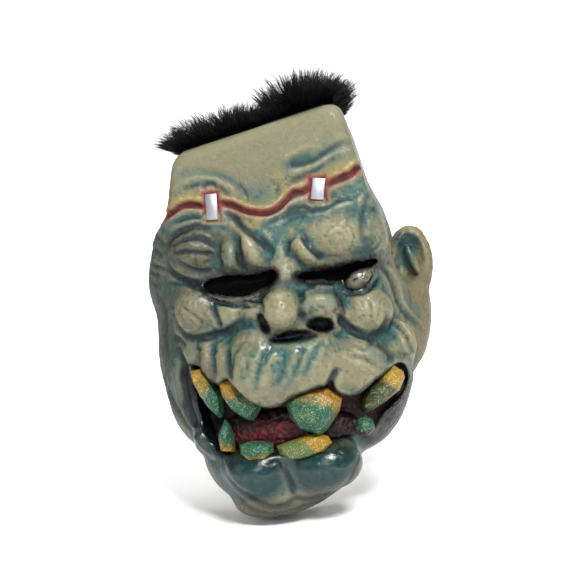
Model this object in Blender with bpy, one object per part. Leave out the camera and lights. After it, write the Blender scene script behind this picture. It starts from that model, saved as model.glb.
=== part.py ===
"""Latex monster mask: a cast skin with set-in teeth, tongue, staples, fur hair and a head strap.

Frame: metres, +Z up, the face looks along -Y and +X is on the viewer's right. The origin is the
centre of the space for the wearer's head, at eye level.
"""

import math

import bmesh
import bpy
from mathutils import Matrix, Vector
from mathutils.bvhtree import BVHTree
from mathutils.geometry import intersect_line_line

MM = 0.001
GAP = 0.3                    # clearance between touching pieces, mm

# --- Driving dimensions, in millimetres ---
WALL = 3.0                   # latex thickness
VOXEL_OUTER = 4.0            # grid of the face's outer surface
VOXEL_INNER = 5.0            # grid of the hollow inside
OUTER_FACES = 4300
INNER_FACES = 1700

# The cranium is a block with this front outline (x, z): crown left, crown right, right, left
CRANIUM_OUTLINE = [(-75, 99), (51, 125), (80, 18), (-93, 18)]
CRANIUM_BACK_Y = 46
CRANIUM_ROUND = 12
FOREHEAD_Y = -80

RIM_Y = 35                   # the open back is trimmed in this plane
RIM_TURN_Z = -55             # below this the trim line runs forward under the jaw
RIM_CHIN = (-60, -175)       # (y, z) where the trim line ends behind the chin

# Blocks with round edges: centre, half sizes, edge radius
BLOCKS = {
    "temples": ((-11, -14, 30), (88, 60, 26), 22),
    "strap_pads": ((-4, 30, -26), (98, 26, 36), 9),
}

# Swellings: centre, half sizes, tilt about Y in degrees
SWELLINGS = {
    "face": ((-8, -8, -10), (97, 88, 108), 0),
    "left_bulge": ((-70, -28, 12), (36, 45, 42), 0),
    "left_side": ((-72, -22, -42), (29, 42, 52), 0),
    "jowl_right": ((80, 4, -38), (23, 24, 46), -12),
    "mouth_side_right": ((68, -42, -66), (21, 38, 30), 0),
    "jaw": ((-10, -35, -84), (85, 60, 52), 0),
    "chin": ((-17, -61, -118), (63, 45, 45), 0),
    "muzzle": ((6, -70, -70), (74, 48, 46), 0),
    "lower_lip_left": ((-24, -90, -127), (26, 23, 19), 0),
    "lower_lip_right": ((20, -90, -126), (25, 22, 19), 0),
    "upper_lip_left": ((-16, -97, -56), (22, 22, 28), 0),
    "upper_lip_right": ((16, -97, -52), (26, 22, 24), 0),
    "upper_lip_outer": ((45, -87, -58), (18, 22, 21), 0),
    "fold_1": ((-42, -84, -50), (6, 19, 15), 0),
    "fold_2": ((-54, -77, -46), (7, 20, 19), 10),
    "fold_3": ((-67, -68, -42), (8, 20, 15), 10),
    "cheek_left": ((-60, -76, -14), (20, 22, 19), 0),
    "cheek_left_inner": ((-34, -84, -18), (14, 18, 12), 0),
    "cheek_right": ((57, -74, -23), (18, 23, 18), 0),
    "nose_bridge": ((5, -88, 4), (13, 18, 22), 0),
    "nose_bulb": ((4, -107, -17), (14, 18, 15), 0),
    "nose_wing_right": ((29, -99, -21), (12, 15, 13), 0),
    "nose_wing_left": ((-15, -95, -20), (8, 12, 9), 0),
    "eyelid_left": ((-58, -72, 28), (23, 23, 18), 0),
    "brow_left_outer": ((-32, -84, 24), (10, 17, 15), 0),
    "brow_left": ((-16, -85, 27), (10, 18, 18), 30),
    "brow_right": ((41, -80, 29), (24, 21, 18), -6),
    "brow_right_inner": ((19, -86, 22), (9, 17, 15), 35),
    "brow_right_outer": ((64, -62, 27), (13, 22, 22), 0),
}

# Ears are solid flaps of latex, so they add to the outside only
EARS = {
    "ear_right": ((91, 10, 9), (18, 10, 30), -4),
    "ear_left": ((-97, 12, 9), (12, 10, 28), 4),
}
EAR_HOLLOWS = {
    "ear_hollow_right": ((98, 0, 16), (9, 6, 15), -4),
    "ear_hollow_left": ((-107, 1, 15), (4.5, 6, 13), 4),
}

# Eye slots, cut straight through along Y: centre (x, z), half width, half height, tilt in degrees
EYE_SLOTS = {
    "eye_left": ((-27, 4), 25, 6.0, 0),
    "eye_right": ((41, 5), 25, 4.8, 7),
}
SLOT_FRONT_Y = -150
SLOT_BACK_Y = -45

# Black gauze glued inside behind each eye slot
SCREEN_MARGIN = 6            # how far it reaches past its slot
SCREEN_RINGS = 6
SCREEN_SPOKES = 28
SCREEN_REACH = 2.5           # it clears everything within this distance
SCREEN_CLEARANCE = 0.7
SCREEN_THICKNESS = 0.8

# Mouth outline (x, z), clockwise from its left corner: the upper lip's edge, then the lower lip's
MOUTH = [(-70, -52), (-62, -54), (-53, -64), (-46, -64), (-39, -60), (-32, -68), (-24, -77), (-13, -82),
         (-3, -81), (5, -76), (14, -73), (28, -70), (38, -77), (48, -78), (62, -69), (77, -61),
         (81, -71), (76, -83), (62, -94), (52, -106), (36, -107), (16, -110), (-5, -113), (-30, -113),
         (-48, -112), (-60, -99), (-64, -86), (-67, -68)]
MOUTH_STEPS = 2              # points along each stretch between two outline points
MOUTH_ARC_X = 6              # the back wall of the mouth is a cylinder about this upright axis
MOUTH_ARC_Y = 16
MOUTH_ARC_RADIUS = 100

# Teeth: root (x, z), tip (x, z), half width at the root and near the tip, back and front y
UPPER_TEETH = {
    "tooth_upper_left_outer": ((-64, -50), (-49, -87), 6, 4, -78, -96),
    "tooth_upper_left_inner": ((-44, -58), (-24, -89), 7, 5, -90, -106),
    "tooth_upper_right_big": ((20, -64), (20, -102), 21, 8, -96, -114),
    "tooth_upper_right_outer": ((79, -58), (53, -90), 9, 5, -72, -93),
}
LOWER_TEETH = {
    "tooth_lower_left_outer": ((-45, -117), (-45, -91), 6, 4, -88, -103),
    "tooth_lower_left_inner": ((-24, -119), (-23, -104), 13, 11, -95, -110),
    "tooth_lower_right_inner": ((8, -118), (14, -103), 20, 16, -96, -111),
    "tooth_lower_right_outer": ((48, -112), (51, -94), 6, 5, -84, -99),
}
TOOTH_RIDGE = 0.35           # the front ridge lies this share of the root's half width off the middle
TOOTH_WAIST = 0.55           # the middle section is this far from root to tip
TOOTH_ROOT_FRONT = 0.7       # half width of the root's front edge, as a share of the root's half width
TOOTH_TIP_EDGE = 0.4         # half width of the tip's edge, as a share of the tip's half width
TOOTH_RIDGE_END = 0.12       # the ridge stops this share of the length short of the tip
# How far forward each section reaches, from 0 at the back to 1 at the front
TOOTH_ROOT_DEPTH = 0.75
TOOTH_WAIST_DEPTH = 0.25
TOOTH_TIP_DEPTH = 0.35
TOOTH_RIDGE_DEPTH = 0.85

TONGUE_CENTRE = (-4, -76, -102)
TONGUE_HALF = (52, 17, 20)

# Staples across the scar: centre (x, z), width, height, tilt in degrees
STAPLES = {
    "staple_left": ((-44, 59), 8.5, 18.5, -1),
    "staple_right": ((32, 64), 9, 15, -10),
}
STAPLE_PLATE = 1.2
STAPLE_LEG = 1.4             # thickness of a leg, along the staple
STAPLE_TURN = 4.5            # length of the turned-over end inside the mask
STAPLE_ROOM = 2.0            # its flat seats reach this far past the plate

# Fur hair on the crown, in the crown's tilted plane
BACKING_X = (-66, 42)
BACKING_Y = (-66, 28)
BACKING_THICKNESS = 1.5
FUR_LEFT = [((-66, -34, 108), (24, 38, 15)), ((-36, -30, 117), (28, 42, 15)), ((-16, -26, 120), (14, 36, 13))]
FUR_RIGHT = [((10, -24, 132), (22, 40, 20)), ((30, -24, 136), (24, 42, 18)), ((50, -16, 128), (14, 34, 20))]
FUR_SPLIT_X = -4             # the parting between the two tufts
FUR_FACES = 420

# Strap and its fastening; PIVOT is the axis through both rivets
PIVOT_Y = 20
PIVOT_Z = -28
SIDE_CENTRE_X = BLOCKS["strap_pads"][0][0]
SIDE_HALF = BLOCKS["strap_pads"][1][0]
SEAT_DEPTH = 0.3             # flat seats are cut this far into both faces of the wall
SEAT_RADIUS = 11.5
SEAT_REACH = 12              # the cuts for the seats clear this far from the wall
PATCH_RADIUS = 10.5
PATCH_THICKNESS = 1.2
BAND_THICKNESS = 1.2
BAND_WIDTH = 18
BAND_REACH = 104             # how far the loop runs back from the pivot
BAND_CORNER = 70             # length of the loop's curved ends
WASHER_RADIUS = 5.5
WASHER_THICKNESS = 0.8
RIVET_HEAD_RADIUS = 5.0
RIVET_HEAD_THICKNESS = 1.6
RIVET_SHANK_RADIUS = 2.0
RIVET_TAIL_RADIUS = 3.4
RIVET_TAIL_THICKNESS = 1.0


# --- Helpers ---

def material(name, colour, roughness, metallic=0.0):
    mat = bpy.data.materials.new(name)
    mat.use_nodes = True
    shader = mat.node_tree.nodes["Principled BSDF"]
    shader.inputs["Base Color"].default_value = (*colour, 1.0)
    shader.inputs["Roughness"].default_value = roughness
    shader.inputs["Metallic"].default_value = metallic
    mat.diffuse_color = (*colour, 1.0)
    return mat


def add_object(name, bm, mat=None):
    """A scene object from a bmesh whose coordinates are in millimetres."""
    bmesh.ops.scale(bm, vec=(MM, MM, MM), verts=bm.verts)
    bmesh.ops.recalc_face_normals(bm, faces=bm.faces)
    mesh = bpy.data.meshes.new(name)
    bm.to_mesh(mesh)
    bm.free()
    obj = bpy.data.objects.new(name, mesh)
    bpy.context.scene.collection.objects.link(obj)
    if mat:
        mesh.materials.append(mat)
    return obj


def as_cutter(obj):
    obj.hide_render = True
    obj.display_type = 'WIRE'
    return obj


def boolean(target, cutter, operation='DIFFERENCE'):
    modifier = target.modifiers.new(cutter.name, 'BOOLEAN')
    modifier.solver = 'EXACT'
    modifier.operation = operation
    modifier.object = cutter


def tilt_matrix(degrees, about=(0, 0, 0)):
    """A turn about Y that lifts the +X side, keeping the point `about` in place."""
    centre = Matrix.Translation(Vector(about))
    return centre @ Matrix.Rotation(-math.radians(degrees), 4, 'Y') @ centre.inverted()


def add_ellipsoid(bm, centre, half, tilt=0.0, subdivisions=4):
    place = Matrix.Translation(Vector(centre)) @ Matrix.Rotation(-math.radians(tilt), 4, 'Y')
    bmesh.ops.create_icosphere(bm, subdivisions=subdivisions, radius=1.0,
                               matrix=place @ Matrix.Diagonal((*half, 1.0)))


def add_block(bm, centre, half, radius=0.0, tilt=0.0, segments=4):
    place = Matrix.Translation(Vector(centre)) @ Matrix.Rotation(-math.radians(tilt), 4, 'Y')
    verts = bmesh.ops.create_cube(bm, size=2.0, matrix=place @ Matrix.Diagonal((*half, 1.0)))["verts"]
    if radius:
        edges = list({edge for vert in verts for edge in vert.link_edges})
        bmesh.ops.bevel(bm, geom=edges, offset=radius, segments=segments, profile=0.5, affect='EDGES')


def add_disc(bm, centre, radius, thickness, sides=32):
    """A disc about the X axis."""
    place = Matrix.Translation(Vector(centre)) @ Matrix.Rotation(math.pi / 2, 4, 'Y')
    bmesh.ops.create_cone(bm, cap_ends=True, segments=sides, radius1=radius, radius2=radius,
                          depth=thickness, matrix=place)


def add_prism(bm, outline, y_front, y_back):
    """A solid from an (x, z) outline, straight along Y."""
    face = bm.faces.new([bm.verts.new((x, y_front, z)) for x, z in outline])
    grown = bmesh.ops.extrude_face_region(bm, geom=[face])["geom"]
    moved = [item for item in grown if isinstance(item, bmesh.types.BMVert)]
    bmesh.ops.translate(bm, vec=(0, y_back - y_front, 0), verts=moved)


def draw_in(outline, inset):
    """A convex clockwise outline with each side moved inwards by `inset`."""
    count = len(outline)
    sides = []
    for i in range(count):
        start, end = Vector(outline[i]), Vector(outline[(i + 1) % count])
        inward = Vector((end.y - start.y, start.x - end.x)).normalized()
        sides.append((start + inset * inward, end + inset * inward))
    corners = []
    for i in range(count):
        lines = [point.to_3d() for point in (*sides[i - 1], *sides[i])]
        corners.append(intersect_line_line(*lines)[0].to_2d())
    return corners


def melt(name, bm, voxel, faces, smoothing=4):
    """One closed surface round everything in the bmesh, with about `faces` triangles."""
    obj = add_object(name, bm)
    remesh = obj.modifiers.new("melt", 'REMESH')
    remesh.mode = 'VOXEL'
    remesh.voxel_size = voxel * MM
    smooth = obj.modifiers.new("soften", 'SMOOTH')
    smooth.factor = 0.5
    smooth.iterations = smoothing
    count = 2 * len(obj.evaluated_get(bpy.context.evaluated_depsgraph_get()).data.polygons)
    thin = obj.modifiers.new("thin", 'DECIMATE')
    thin.ratio = min(1.0, faces / count)
    thin.use_collapse_triangulate = True
    bpy.context.view_layer.update()
    mesh = bpy.data.meshes.new_from_object(obj.evaluated_get(bpy.context.evaluated_depsgraph_get()))
    obj.modifiers.clear()
    obj.data = mesh
    mesh.shade_smooth()
    return obj


def round_outline(points, steps, grow=0.0):
    """A closed smooth outline through the points, moved outwards by `grow`."""
    count = len(points)
    dense = []
    for i in range(count):
        before, start, end, after = (Vector(points[(i + k) % count]) for k in (-1, 0, 1, 2))
        for step in range(steps):
            t = step / steps
            dense.append(0.5 * (2 * start + (end - before) * t
                                + (2 * before - 5 * start + 4 * end - after) * t * t
                                + (3 * start - before - 3 * end + after) * t ** 3))
    moved = []
    for i, point in enumerate(dense):
        along = (dense[(i + 1) % len(dense)] - dense[i - 1]).normalized()
        moved.append(point + grow * Vector((-along.y, along.x)))
    return moved


# --- Cast skin ---

def head_mass(name, inset, voxel, faces, ears):
    """The head as a solid, with every block and swelling drawn in by `inset`."""
    bm = bmesh.new()
    add_prism(bm, draw_in(CRANIUM_OUTLINE, inset), FOREHEAD_Y + inset, CRANIUM_BACK_Y)
    bmesh.ops.bevel(bm, geom=list(bm.edges), offset=CRANIUM_ROUND - inset / 2, segments=4, profile=0.5,
                    affect='EDGES')
    for centre, half, radius in BLOCKS.values():
        add_block(bm, centre, [size - inset for size in half], radius - inset / 2)
    for centre, half, tilt in SWELLINGS.values():
        add_ellipsoid(bm, centre, [size - inset for size in half], tilt)
    if ears:
        for centre, half, tilt in EARS.values():
            add_ellipsoid(bm, centre, half, tilt)
    return melt(name, bm, voxel, faces)


def mouth_space(name, grow):
    """The hollow of the mouth, `grow` larger all round."""
    bm = bmesh.new()
    add_prism(bm, round_outline(MOUTH, MOUTH_STEPS, grow), SLOT_FRONT_Y, SLOT_BACK_Y)
    space = as_cutter(add_object(name, bm))
    bm = bmesh.new()
    bmesh.ops.create_cone(bm, cap_ends=True, segments=96, radius1=MOUTH_ARC_RADIUS - grow,
                          radius2=MOUTH_ARC_RADIUS - grow, depth=300,
                          matrix=Matrix.Translation((MOUTH_ARC_X, MOUTH_ARC_Y, -80)))
    wall = as_cutter(add_object(name + "_back", bm))
    boolean(space, wall)
    return space


def rim_cutter():
    """Everything behind the trimmed edge, as a prism along X."""
    far = 260
    profile = [(RIM_Y, far), (RIM_Y, RIM_TURN_Z), RIM_CHIN, (far, RIM_CHIN[1]), (far, far)]
    bm = bmesh.new()
    face = bm.faces.new([bm.verts.new((-far, y, z)) for y, z in profile])
    grown = bmesh.ops.extrude_face_region(bm, geom=[face])["geom"]
    moved = [item for item in grown if isinstance(item, bmesh.types.BMVert)]
    bmesh.ops.translate(bm, vec=(2 * far, 0, 0), verts=moved)
    return as_cutter(add_object("rim_cut", bm))


def slot_cutter(name, centre, half_width, half_height, tilt):
    """An elliptical hole straight through the face."""
    bm = bmesh.new()
    x, z = centre
    middle_y = (SLOT_FRONT_Y + SLOT_BACK_Y) / 2
    place = (Matrix.Translation((x, middle_y, z)) @ Matrix.Rotation(-math.radians(tilt), 4, 'Y')
             @ Matrix.Diagonal((half_width, 1, half_height, 1)) @ Matrix.Rotation(math.pi / 2, 4, 'X'))
    bmesh.ops.create_cone(bm, cap_ends=True, segments=24, radius1=1, radius2=1,
                          depth=SLOT_BACK_Y - SLOT_FRONT_Y, matrix=place)
    return as_cutter(add_object(name + "_cut", bm))


def staple_boxes(tilted, y_from, y_to, boxes):
    """Blocks (x, z, half width, half height) between two depths, turned with their staple."""
    centre, tilt = tilted
    bm = bmesh.new()
    for x, z, half_width, half_height in boxes:
        add_block(bm, (centre[0] + x, (y_from + y_to) / 2, centre[1] + z),
                  (half_width, (y_to - y_from) / 2, half_height))
    bmesh.ops.transform(bm, matrix=tilt_matrix(tilt, (centre[0], 0, centre[1])), verts=bm.verts)
    return bm


def face_skin(mat):
    skin = head_mass("face_skin", 0, VOXEL_OUTER, OUTER_FACES, ears=True)
    skin.data.materials.clear()
    skin.data.materials.append(mat)
    for name, (centre, half, tilt) in EAR_HOLLOWS.items():
        bm = bmesh.new()
        add_ellipsoid(bm, centre, half, tilt, subdivisions=2)
        boolean(skin, as_cutter(add_object(name, bm)))
    boolean(skin, mouth_space("mouth", 0))
    hollow = as_cutter(head_mass("hollow", WALL, VOXEL_INNER, INNER_FACES, ears=False))
    boolean(hollow, mouth_space("mouth_lining", WALL))
    boolean(skin, hollow)
    boolean(skin, rim_cutter())
    for name, shape in EYE_SLOTS.items():
        boolean(skin, slot_cutter(name, *shape))
    seat_cuts(skin)
    return hollow


def eye_screen(name, slot, hollow, mat):
    """A sheet draped on the inside of the face, over a slot."""
    (centre_x, centre_z), half_width, half_height, tilt = slot
    wall = BVHTree.FromObject(hollow, bpy.context.evaluated_depsgraph_get())
    turn = Matrix.Rotation(math.radians(tilt), 2)
    nudges = [(0.0, 0.0)] + [(SCREEN_REACH * math.cos(a), SCREEN_REACH * math.sin(a))
                             for a in (math.tau * k / 8 for k in range(8))]

    def wall_y(x, z):
        hit = wall.ray_cast(Vector((x, 0, z)) * MM, Vector((0, -1, 0)))[0]
        return hit.y / MM

    def sheet_point(share, angle):
        flat = turn @ Vector(((half_width + SCREEN_MARGIN) * share * math.cos(angle),
                              (half_height + SCREEN_MARGIN) * share * math.sin(angle)))
        x = centre_x + flat.x
        z = centre_z + flat.y
        return x, max(wall_y(x + dx, z + dz) for dx, dz in nudges) + SCREEN_CLEARANCE, z

    bm = bmesh.new()
    middle = bm.verts.new(sheet_point(0, 0))
    rings = [[bm.verts.new(sheet_point(ring / SCREEN_RINGS, math.tau * spoke / SCREEN_SPOKES))
              for spoke in range(SCREEN_SPOKES)] for ring in range(1, SCREEN_RINGS + 1)]
    for spoke in range(SCREEN_SPOKES):
        after = (spoke + 1) % SCREEN_SPOKES
        bm.faces.new((middle, rings[0][spoke], rings[0][after]))
        for near, far in zip(rings, rings[1:]):
            bm.faces.new((near[spoke], far[spoke], far[after], near[after]))
    grown = bmesh.ops.extrude_face_region(bm, geom=list(bm.faces))["geom"]
    moved = [item for item in grown if isinstance(item, bmesh.types.BMVert)]
    bmesh.ops.translate(bm, vec=(0, SCREEN_THICKNESS, 0), verts=moved)
    return add_object(name, bm, mat)


def seat_cuts(skin):
    """Flat seats and holes for the rivets and the staples."""
    for side in (-1, 1):
        tag = "left" if side < 0 else "right"
        outer_x = SIDE_CENTRE_X + side * (SIDE_HALF - SEAT_DEPTH)
        inner_x = SIDE_CENTRE_X + side * (SIDE_HALF - WALL + SEAT_DEPTH)
        for label, face_x, direction in (("outer", outer_x, side), ("inner", inner_x, -side)):
            bm = bmesh.new()
            add_disc(bm, (face_x + direction * SEAT_REACH / 2, PIVOT_Y, PIVOT_Z), SEAT_RADIUS, SEAT_REACH)
            boolean(skin, as_cutter(add_object(f"seat_{label}_{tag}", bm)))
        bm = bmesh.new()
        add_disc(bm, ((outer_x + inner_x) / 2, PIVOT_Y, PIVOT_Z), RIVET_SHANK_RADIUS + GAP, 3 * WALL, 16)
        boolean(skin, as_cutter(add_object(f"rivet_hole_{tag}", bm)))
    for name, (centre, width, height, tilt) in STAPLES.items():
        seat = [(0, 0, width / 2 + STAPLE_ROOM, height / 2 + STAPLE_ROOM)]
        front = staple_boxes((centre, tilt), FOREHEAD_Y - 8, FOREHEAD_Y + SEAT_DEPTH, seat)
        boolean(skin, as_cutter(add_object(name + "_seat", front)))
        back = staple_boxes((centre, tilt), FOREHEAD_Y + WALL - SEAT_DEPTH, FOREHEAD_Y + WALL + 6, seat)
        boolean(skin, as_cutter(add_object(name + "_inner_seat", back)))
        leg_z = (height - STAPLE_LEG) / 2
        holes = staple_boxes((centre, tilt), FOREHEAD_Y - 2, FOREHEAD_Y + WALL + 2,
                             [(0, sign * leg_z, width / 2 + GAP, STAPLE_LEG / 2 + GAP) for sign in (-1, 1)])
        boolean(skin, as_cutter(add_object(name + "_holes", holes)))


# --- Mouth ---

def tooth(name, root, tip, root_half, tip_half, y_back, y_front, space, mat):
    """A faceted tooth: a ridged wedge between root and tip, trimmed to the mouth."""
    root = Vector((root[0], 0, root[1]))
    tip = Vector((tip[0], 0, tip[1]))
    along = (tip - root).normalized()
    across = Vector((-along.z, 0, along.x))
    back = Vector((0, y_back, 0))
    front = Vector((0, y_front, 0))
    ridge = TOOTH_RIDGE * root_half * across
    middle = root.lerp(tip, TOOTH_WAIST)
    middle_half = (1 - TOOTH_WAIST) * tip_half + TOOTH_WAIST * root_half
    points = []
    for side in (-1, 1):
        points += [root + side * root_half * across + back,
                   root + side * TOOTH_ROOT_FRONT * root_half * across + back.lerp(front, TOOTH_ROOT_DEPTH),
                   middle + side * middle_half * across + back.lerp(front, TOOTH_WAIST_DEPTH),
                   tip + side * TOOTH_TIP_EDGE * tip_half * across + back.lerp(front, TOOTH_TIP_DEPTH)]
    points += [root + ridge + front, middle + ridge + front,
               tip.lerp(root, TOOTH_RIDGE_END) + 0.5 * ridge + back.lerp(front, TOOTH_RIDGE_DEPTH)]
    bm = bmesh.new()
    verts = [bm.verts.new(point) for point in points]
    spare = bmesh.ops.convex_hull(bm, input=verts)["geom_interior"]
    bmesh.ops.delete(bm, geom=[item for item in spare if isinstance(item, bmesh.types.BMVert)],
                     context='VERTS')
    obj = add_object(name, bm, mat)
    boolean(obj, space, 'INTERSECT')
    return obj


def tongue(space, mat):
    bm = bmesh.new()
    add_ellipsoid(bm, TONGUE_CENTRE, TONGUE_HALF, subdivisions=3)
    obj = add_object("tongue", bm, mat)
    obj.data.shade_smooth()
    boolean(obj, space, 'INTERSECT')
    return obj


def staple(name, centre, width, height, tilt, mat):
    """A strip bent into a flat staple: a plate in front, two legs and turned-over ends inside."""
    plate_back = FOREHEAD_Y + SEAT_DEPTH - GAP
    plate_front = plate_back - STAPLE_PLATE
    turn_front = FOREHEAD_Y + WALL - SEAT_DEPTH + GAP
    turn_back = turn_front + STAPLE_LEG
    top = height / 2
    half_section = [(plate_front, top), (turn_back, top), (turn_back, top - STAPLE_TURN),
                    (turn_front, top - STAPLE_TURN), (turn_front, top - STAPLE_LEG),
                    (plate_back, top - STAPLE_LEG)]
    section = half_section + [(y, -z) for y, z in reversed(half_section)]
    bm = bmesh.new()
    face = bm.faces.new([bm.verts.new((centre[0] - width / 2, y, centre[1] + z)) for y, z in section])
    grown = bmesh.ops.extrude_face_region(bm, geom=[face])["geom"]
    moved = [item for item in grown if isinstance(item, bmesh.types.BMVert)]
    bmesh.ops.translate(bm, vec=(width, 0, 0), verts=moved)
    bmesh.ops.transform(bm, matrix=tilt_matrix(tilt, (centre[0], 0, centre[1])), verts=bm.verts)
    return add_object(name, bm, mat)


# --- Fur hair on the crown ---

def crown_slab(bm, x_range, y_range, lift, thickness):
    """A plate lying `lift` above the crown, between two distances along it and two y values."""
    left, right = (Vector((x, 0, z)) for x, z in CRANIUM_OUTLINE[:2])
    along = (right - left).normalized()
    up = Vector((-along.z, 0, along.x))
    centre_x = sum(x_range) / 2
    base = left + along * ((centre_x - left.x) / along.x) + Vector((0, sum(y_range) / 2, 0))
    half = ((x_range[1] - x_range[0]) / 2, (y_range[1] - y_range[0]) / 2, thickness / 2)
    tilt = math.degrees(math.atan2(along.z, along.x))
    add_block(bm, base + up * (lift + thickness / 2), half, tilt=tilt)


def fur_backing(mat):
    bm = bmesh.new()
    crown_slab(bm, BACKING_X, BACKING_Y, GAP, BACKING_THICKNESS)
    return add_object("fur_backing", bm, mat)


def fur_tuft(name, lobes, keep_left, mat):
    bm = bmesh.new()
    for centre, half in lobes:
        add_ellipsoid(bm, centre, half)
    obj = melt(name, bm, VOXEL_INNER, FUR_FACES, smoothing=2)
    obj.data.materials.clear()
    obj.data.materials.append(mat)
    reach = 300
    below = bmesh.new()
    crown_slab(below, (-reach, reach), (-reach, reach), 2 * GAP + BACKING_THICKNESS - reach, reach)
    boolean(obj, as_cutter(add_object(name + "_base_cut", below)))
    bm = bmesh.new()
    offset = (reach - GAP / 2) * (1 if keep_left else -1)
    add_block(bm, (FUR_SPLIT_X + offset, 0, 100), (reach, reach, reach))
    boolean(obj, as_cutter(add_object(name + "_parting_cut", bm)))
    return obj


# --- Strap and its fastening ---

def side_stack():
    """Distances from the side's centre plane to the faces of the fastened pieces, outside first."""
    wall_outer = SIDE_HALF - SEAT_DEPTH
    patch_outer = SIDE_HALF - WALL + SEAT_DEPTH - GAP
    band_outer = patch_outer - PATCH_THICKNESS - GAP
    washer_outer = band_outer - BAND_THICKNESS - GAP
    tail_outer = washer_outer - WASHER_THICKNESS - GAP
    return wall_outer, patch_outer, band_outer, washer_outer, tail_outer


def ring(name, side, outer_face, thickness, radius, mat):
    """A disc with a hole for the rivet."""
    centre = (SIDE_CENTRE_X + side * (outer_face - thickness / 2), PIVOT_Y, PIVOT_Z)
    bm = bmesh.new()
    add_disc(bm, centre, radius, thickness)
    obj = add_object(name, bm, mat)
    bm = bmesh.new()
    add_disc(bm, centre, RIVET_SHANK_RADIUS + GAP, 3 * thickness, 16)
    boolean(obj, as_cutter(add_object(name + "_hole", bm)))
    return obj


def rivet(name, side, mat):
    """Head, shank and tail turned about the pivot axis in one piece."""
    wall_outer, _, _, _, tail_outer = side_stack()
    head_inner = wall_outer + GAP
    head_outer = head_inner + RIVET_HEAD_THICKNESS
    tail_inner = tail_outer - RIVET_TAIL_THICKNESS
    profile = [(head_outer, 0.0), (head_outer, 0.55 * RIVET_HEAD_RADIUS),
               (head_outer - 0.35 * RIVET_HEAD_THICKNESS, 0.9 * RIVET_HEAD_RADIUS),
               (head_inner, RIVET_HEAD_RADIUS), (head_inner, RIVET_SHANK_RADIUS),
               (tail_outer, RIVET_SHANK_RADIUS), (tail_outer, RIVET_TAIL_RADIUS),
               (tail_inner, 0.8 * RIVET_TAIL_RADIUS), (tail_inner, 0.0)]
    bm = bmesh.new()
    verts = [bm.verts.new((side * x, radius, 0)) for x, radius in profile]
    edges = [bm.edges.new(pair) for pair in zip(verts, verts[1:])]
    bmesh.ops.spin(bm, geom=verts + edges, cent=(0, 0, 0), axis=(1, 0, 0), angle=2 * math.pi,
                   steps=20, use_duplicate=False)
    bmesh.ops.remove_doubles(bm, verts=bm.verts, dist=0.001)
    bmesh.ops.translate(bm, vec=(SIDE_CENTRE_X, PIVOT_Y, PIVOT_Z), verts=bm.verts)
    return add_object(name, bm, mat)


def band_path(half_gap, steps=14):
    """The loop seen from above, relative to the pivot: out from the left rivet and back to the right."""
    points = []
    straight = BAND_REACH - BAND_CORNER
    for step in range(steps + 1):
        angle = math.pi - math.pi * step / steps
        points.append((half_gap * math.cos(angle), straight + BAND_CORNER * math.sin(angle)))
    return [(-half_gap, 0.0)] + points + [(half_gap, 0.0)]


def elastic_band(pivot, mat):
    """A flat woven band round the back of the head, with a round end on each rivet."""
    band_outer = side_stack()[2]
    path = band_path(band_outer)
    inner = [(math.copysign(abs(x) - BAND_THICKNESS, x) if abs(x) > band_outer * 0.999
              else x * (1 - BAND_THICKNESS / band_outer), y if y < BAND_REACH - BAND_CORNER + 0.01
              else y - BAND_THICKNESS * (y - BAND_REACH + BAND_CORNER) / BAND_CORNER)
             for x, y in path]
    half = BAND_WIDTH / 2
    bm = bmesh.new()
    face = bm.faces.new([bm.verts.new((x, y, -half)) for x, y in path + inner[::-1]])
    grown = bmesh.ops.extrude_face_region(bm, geom=[face])["geom"]
    moved = [item for item in grown if isinstance(item, bmesh.types.BMVert)]
    bmesh.ops.translate(bm, vec=(0, 0, BAND_WIDTH), verts=moved)
    obj = add_object("elastic_band", bm, mat)
    obj.parent = pivot
    for side in (-1, 1):
        tag = "left" if side < 0 else "right"
        bm = bmesh.new()
        middle = side * (band_outer - BAND_THICKNESS / 2)
        add_disc(bm, (middle, 0, 0), half, BAND_THICKNESS)
        end = as_cutter(add_object(f"band_end_{tag}", bm))
        end.parent = pivot
        boolean(obj, end, 'UNION')
        bm = bmesh.new()
        add_disc(bm, (middle, 0, 0), RIVET_SHANK_RADIUS + GAP, 3 * BAND_THICKNESS, 16)
        hole = as_cutter(add_object(f"band_hole_{tag}", bm))
        hole.parent = pivot
        boolean(obj, hole)
    return obj


# --- Assembly ---

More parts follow.
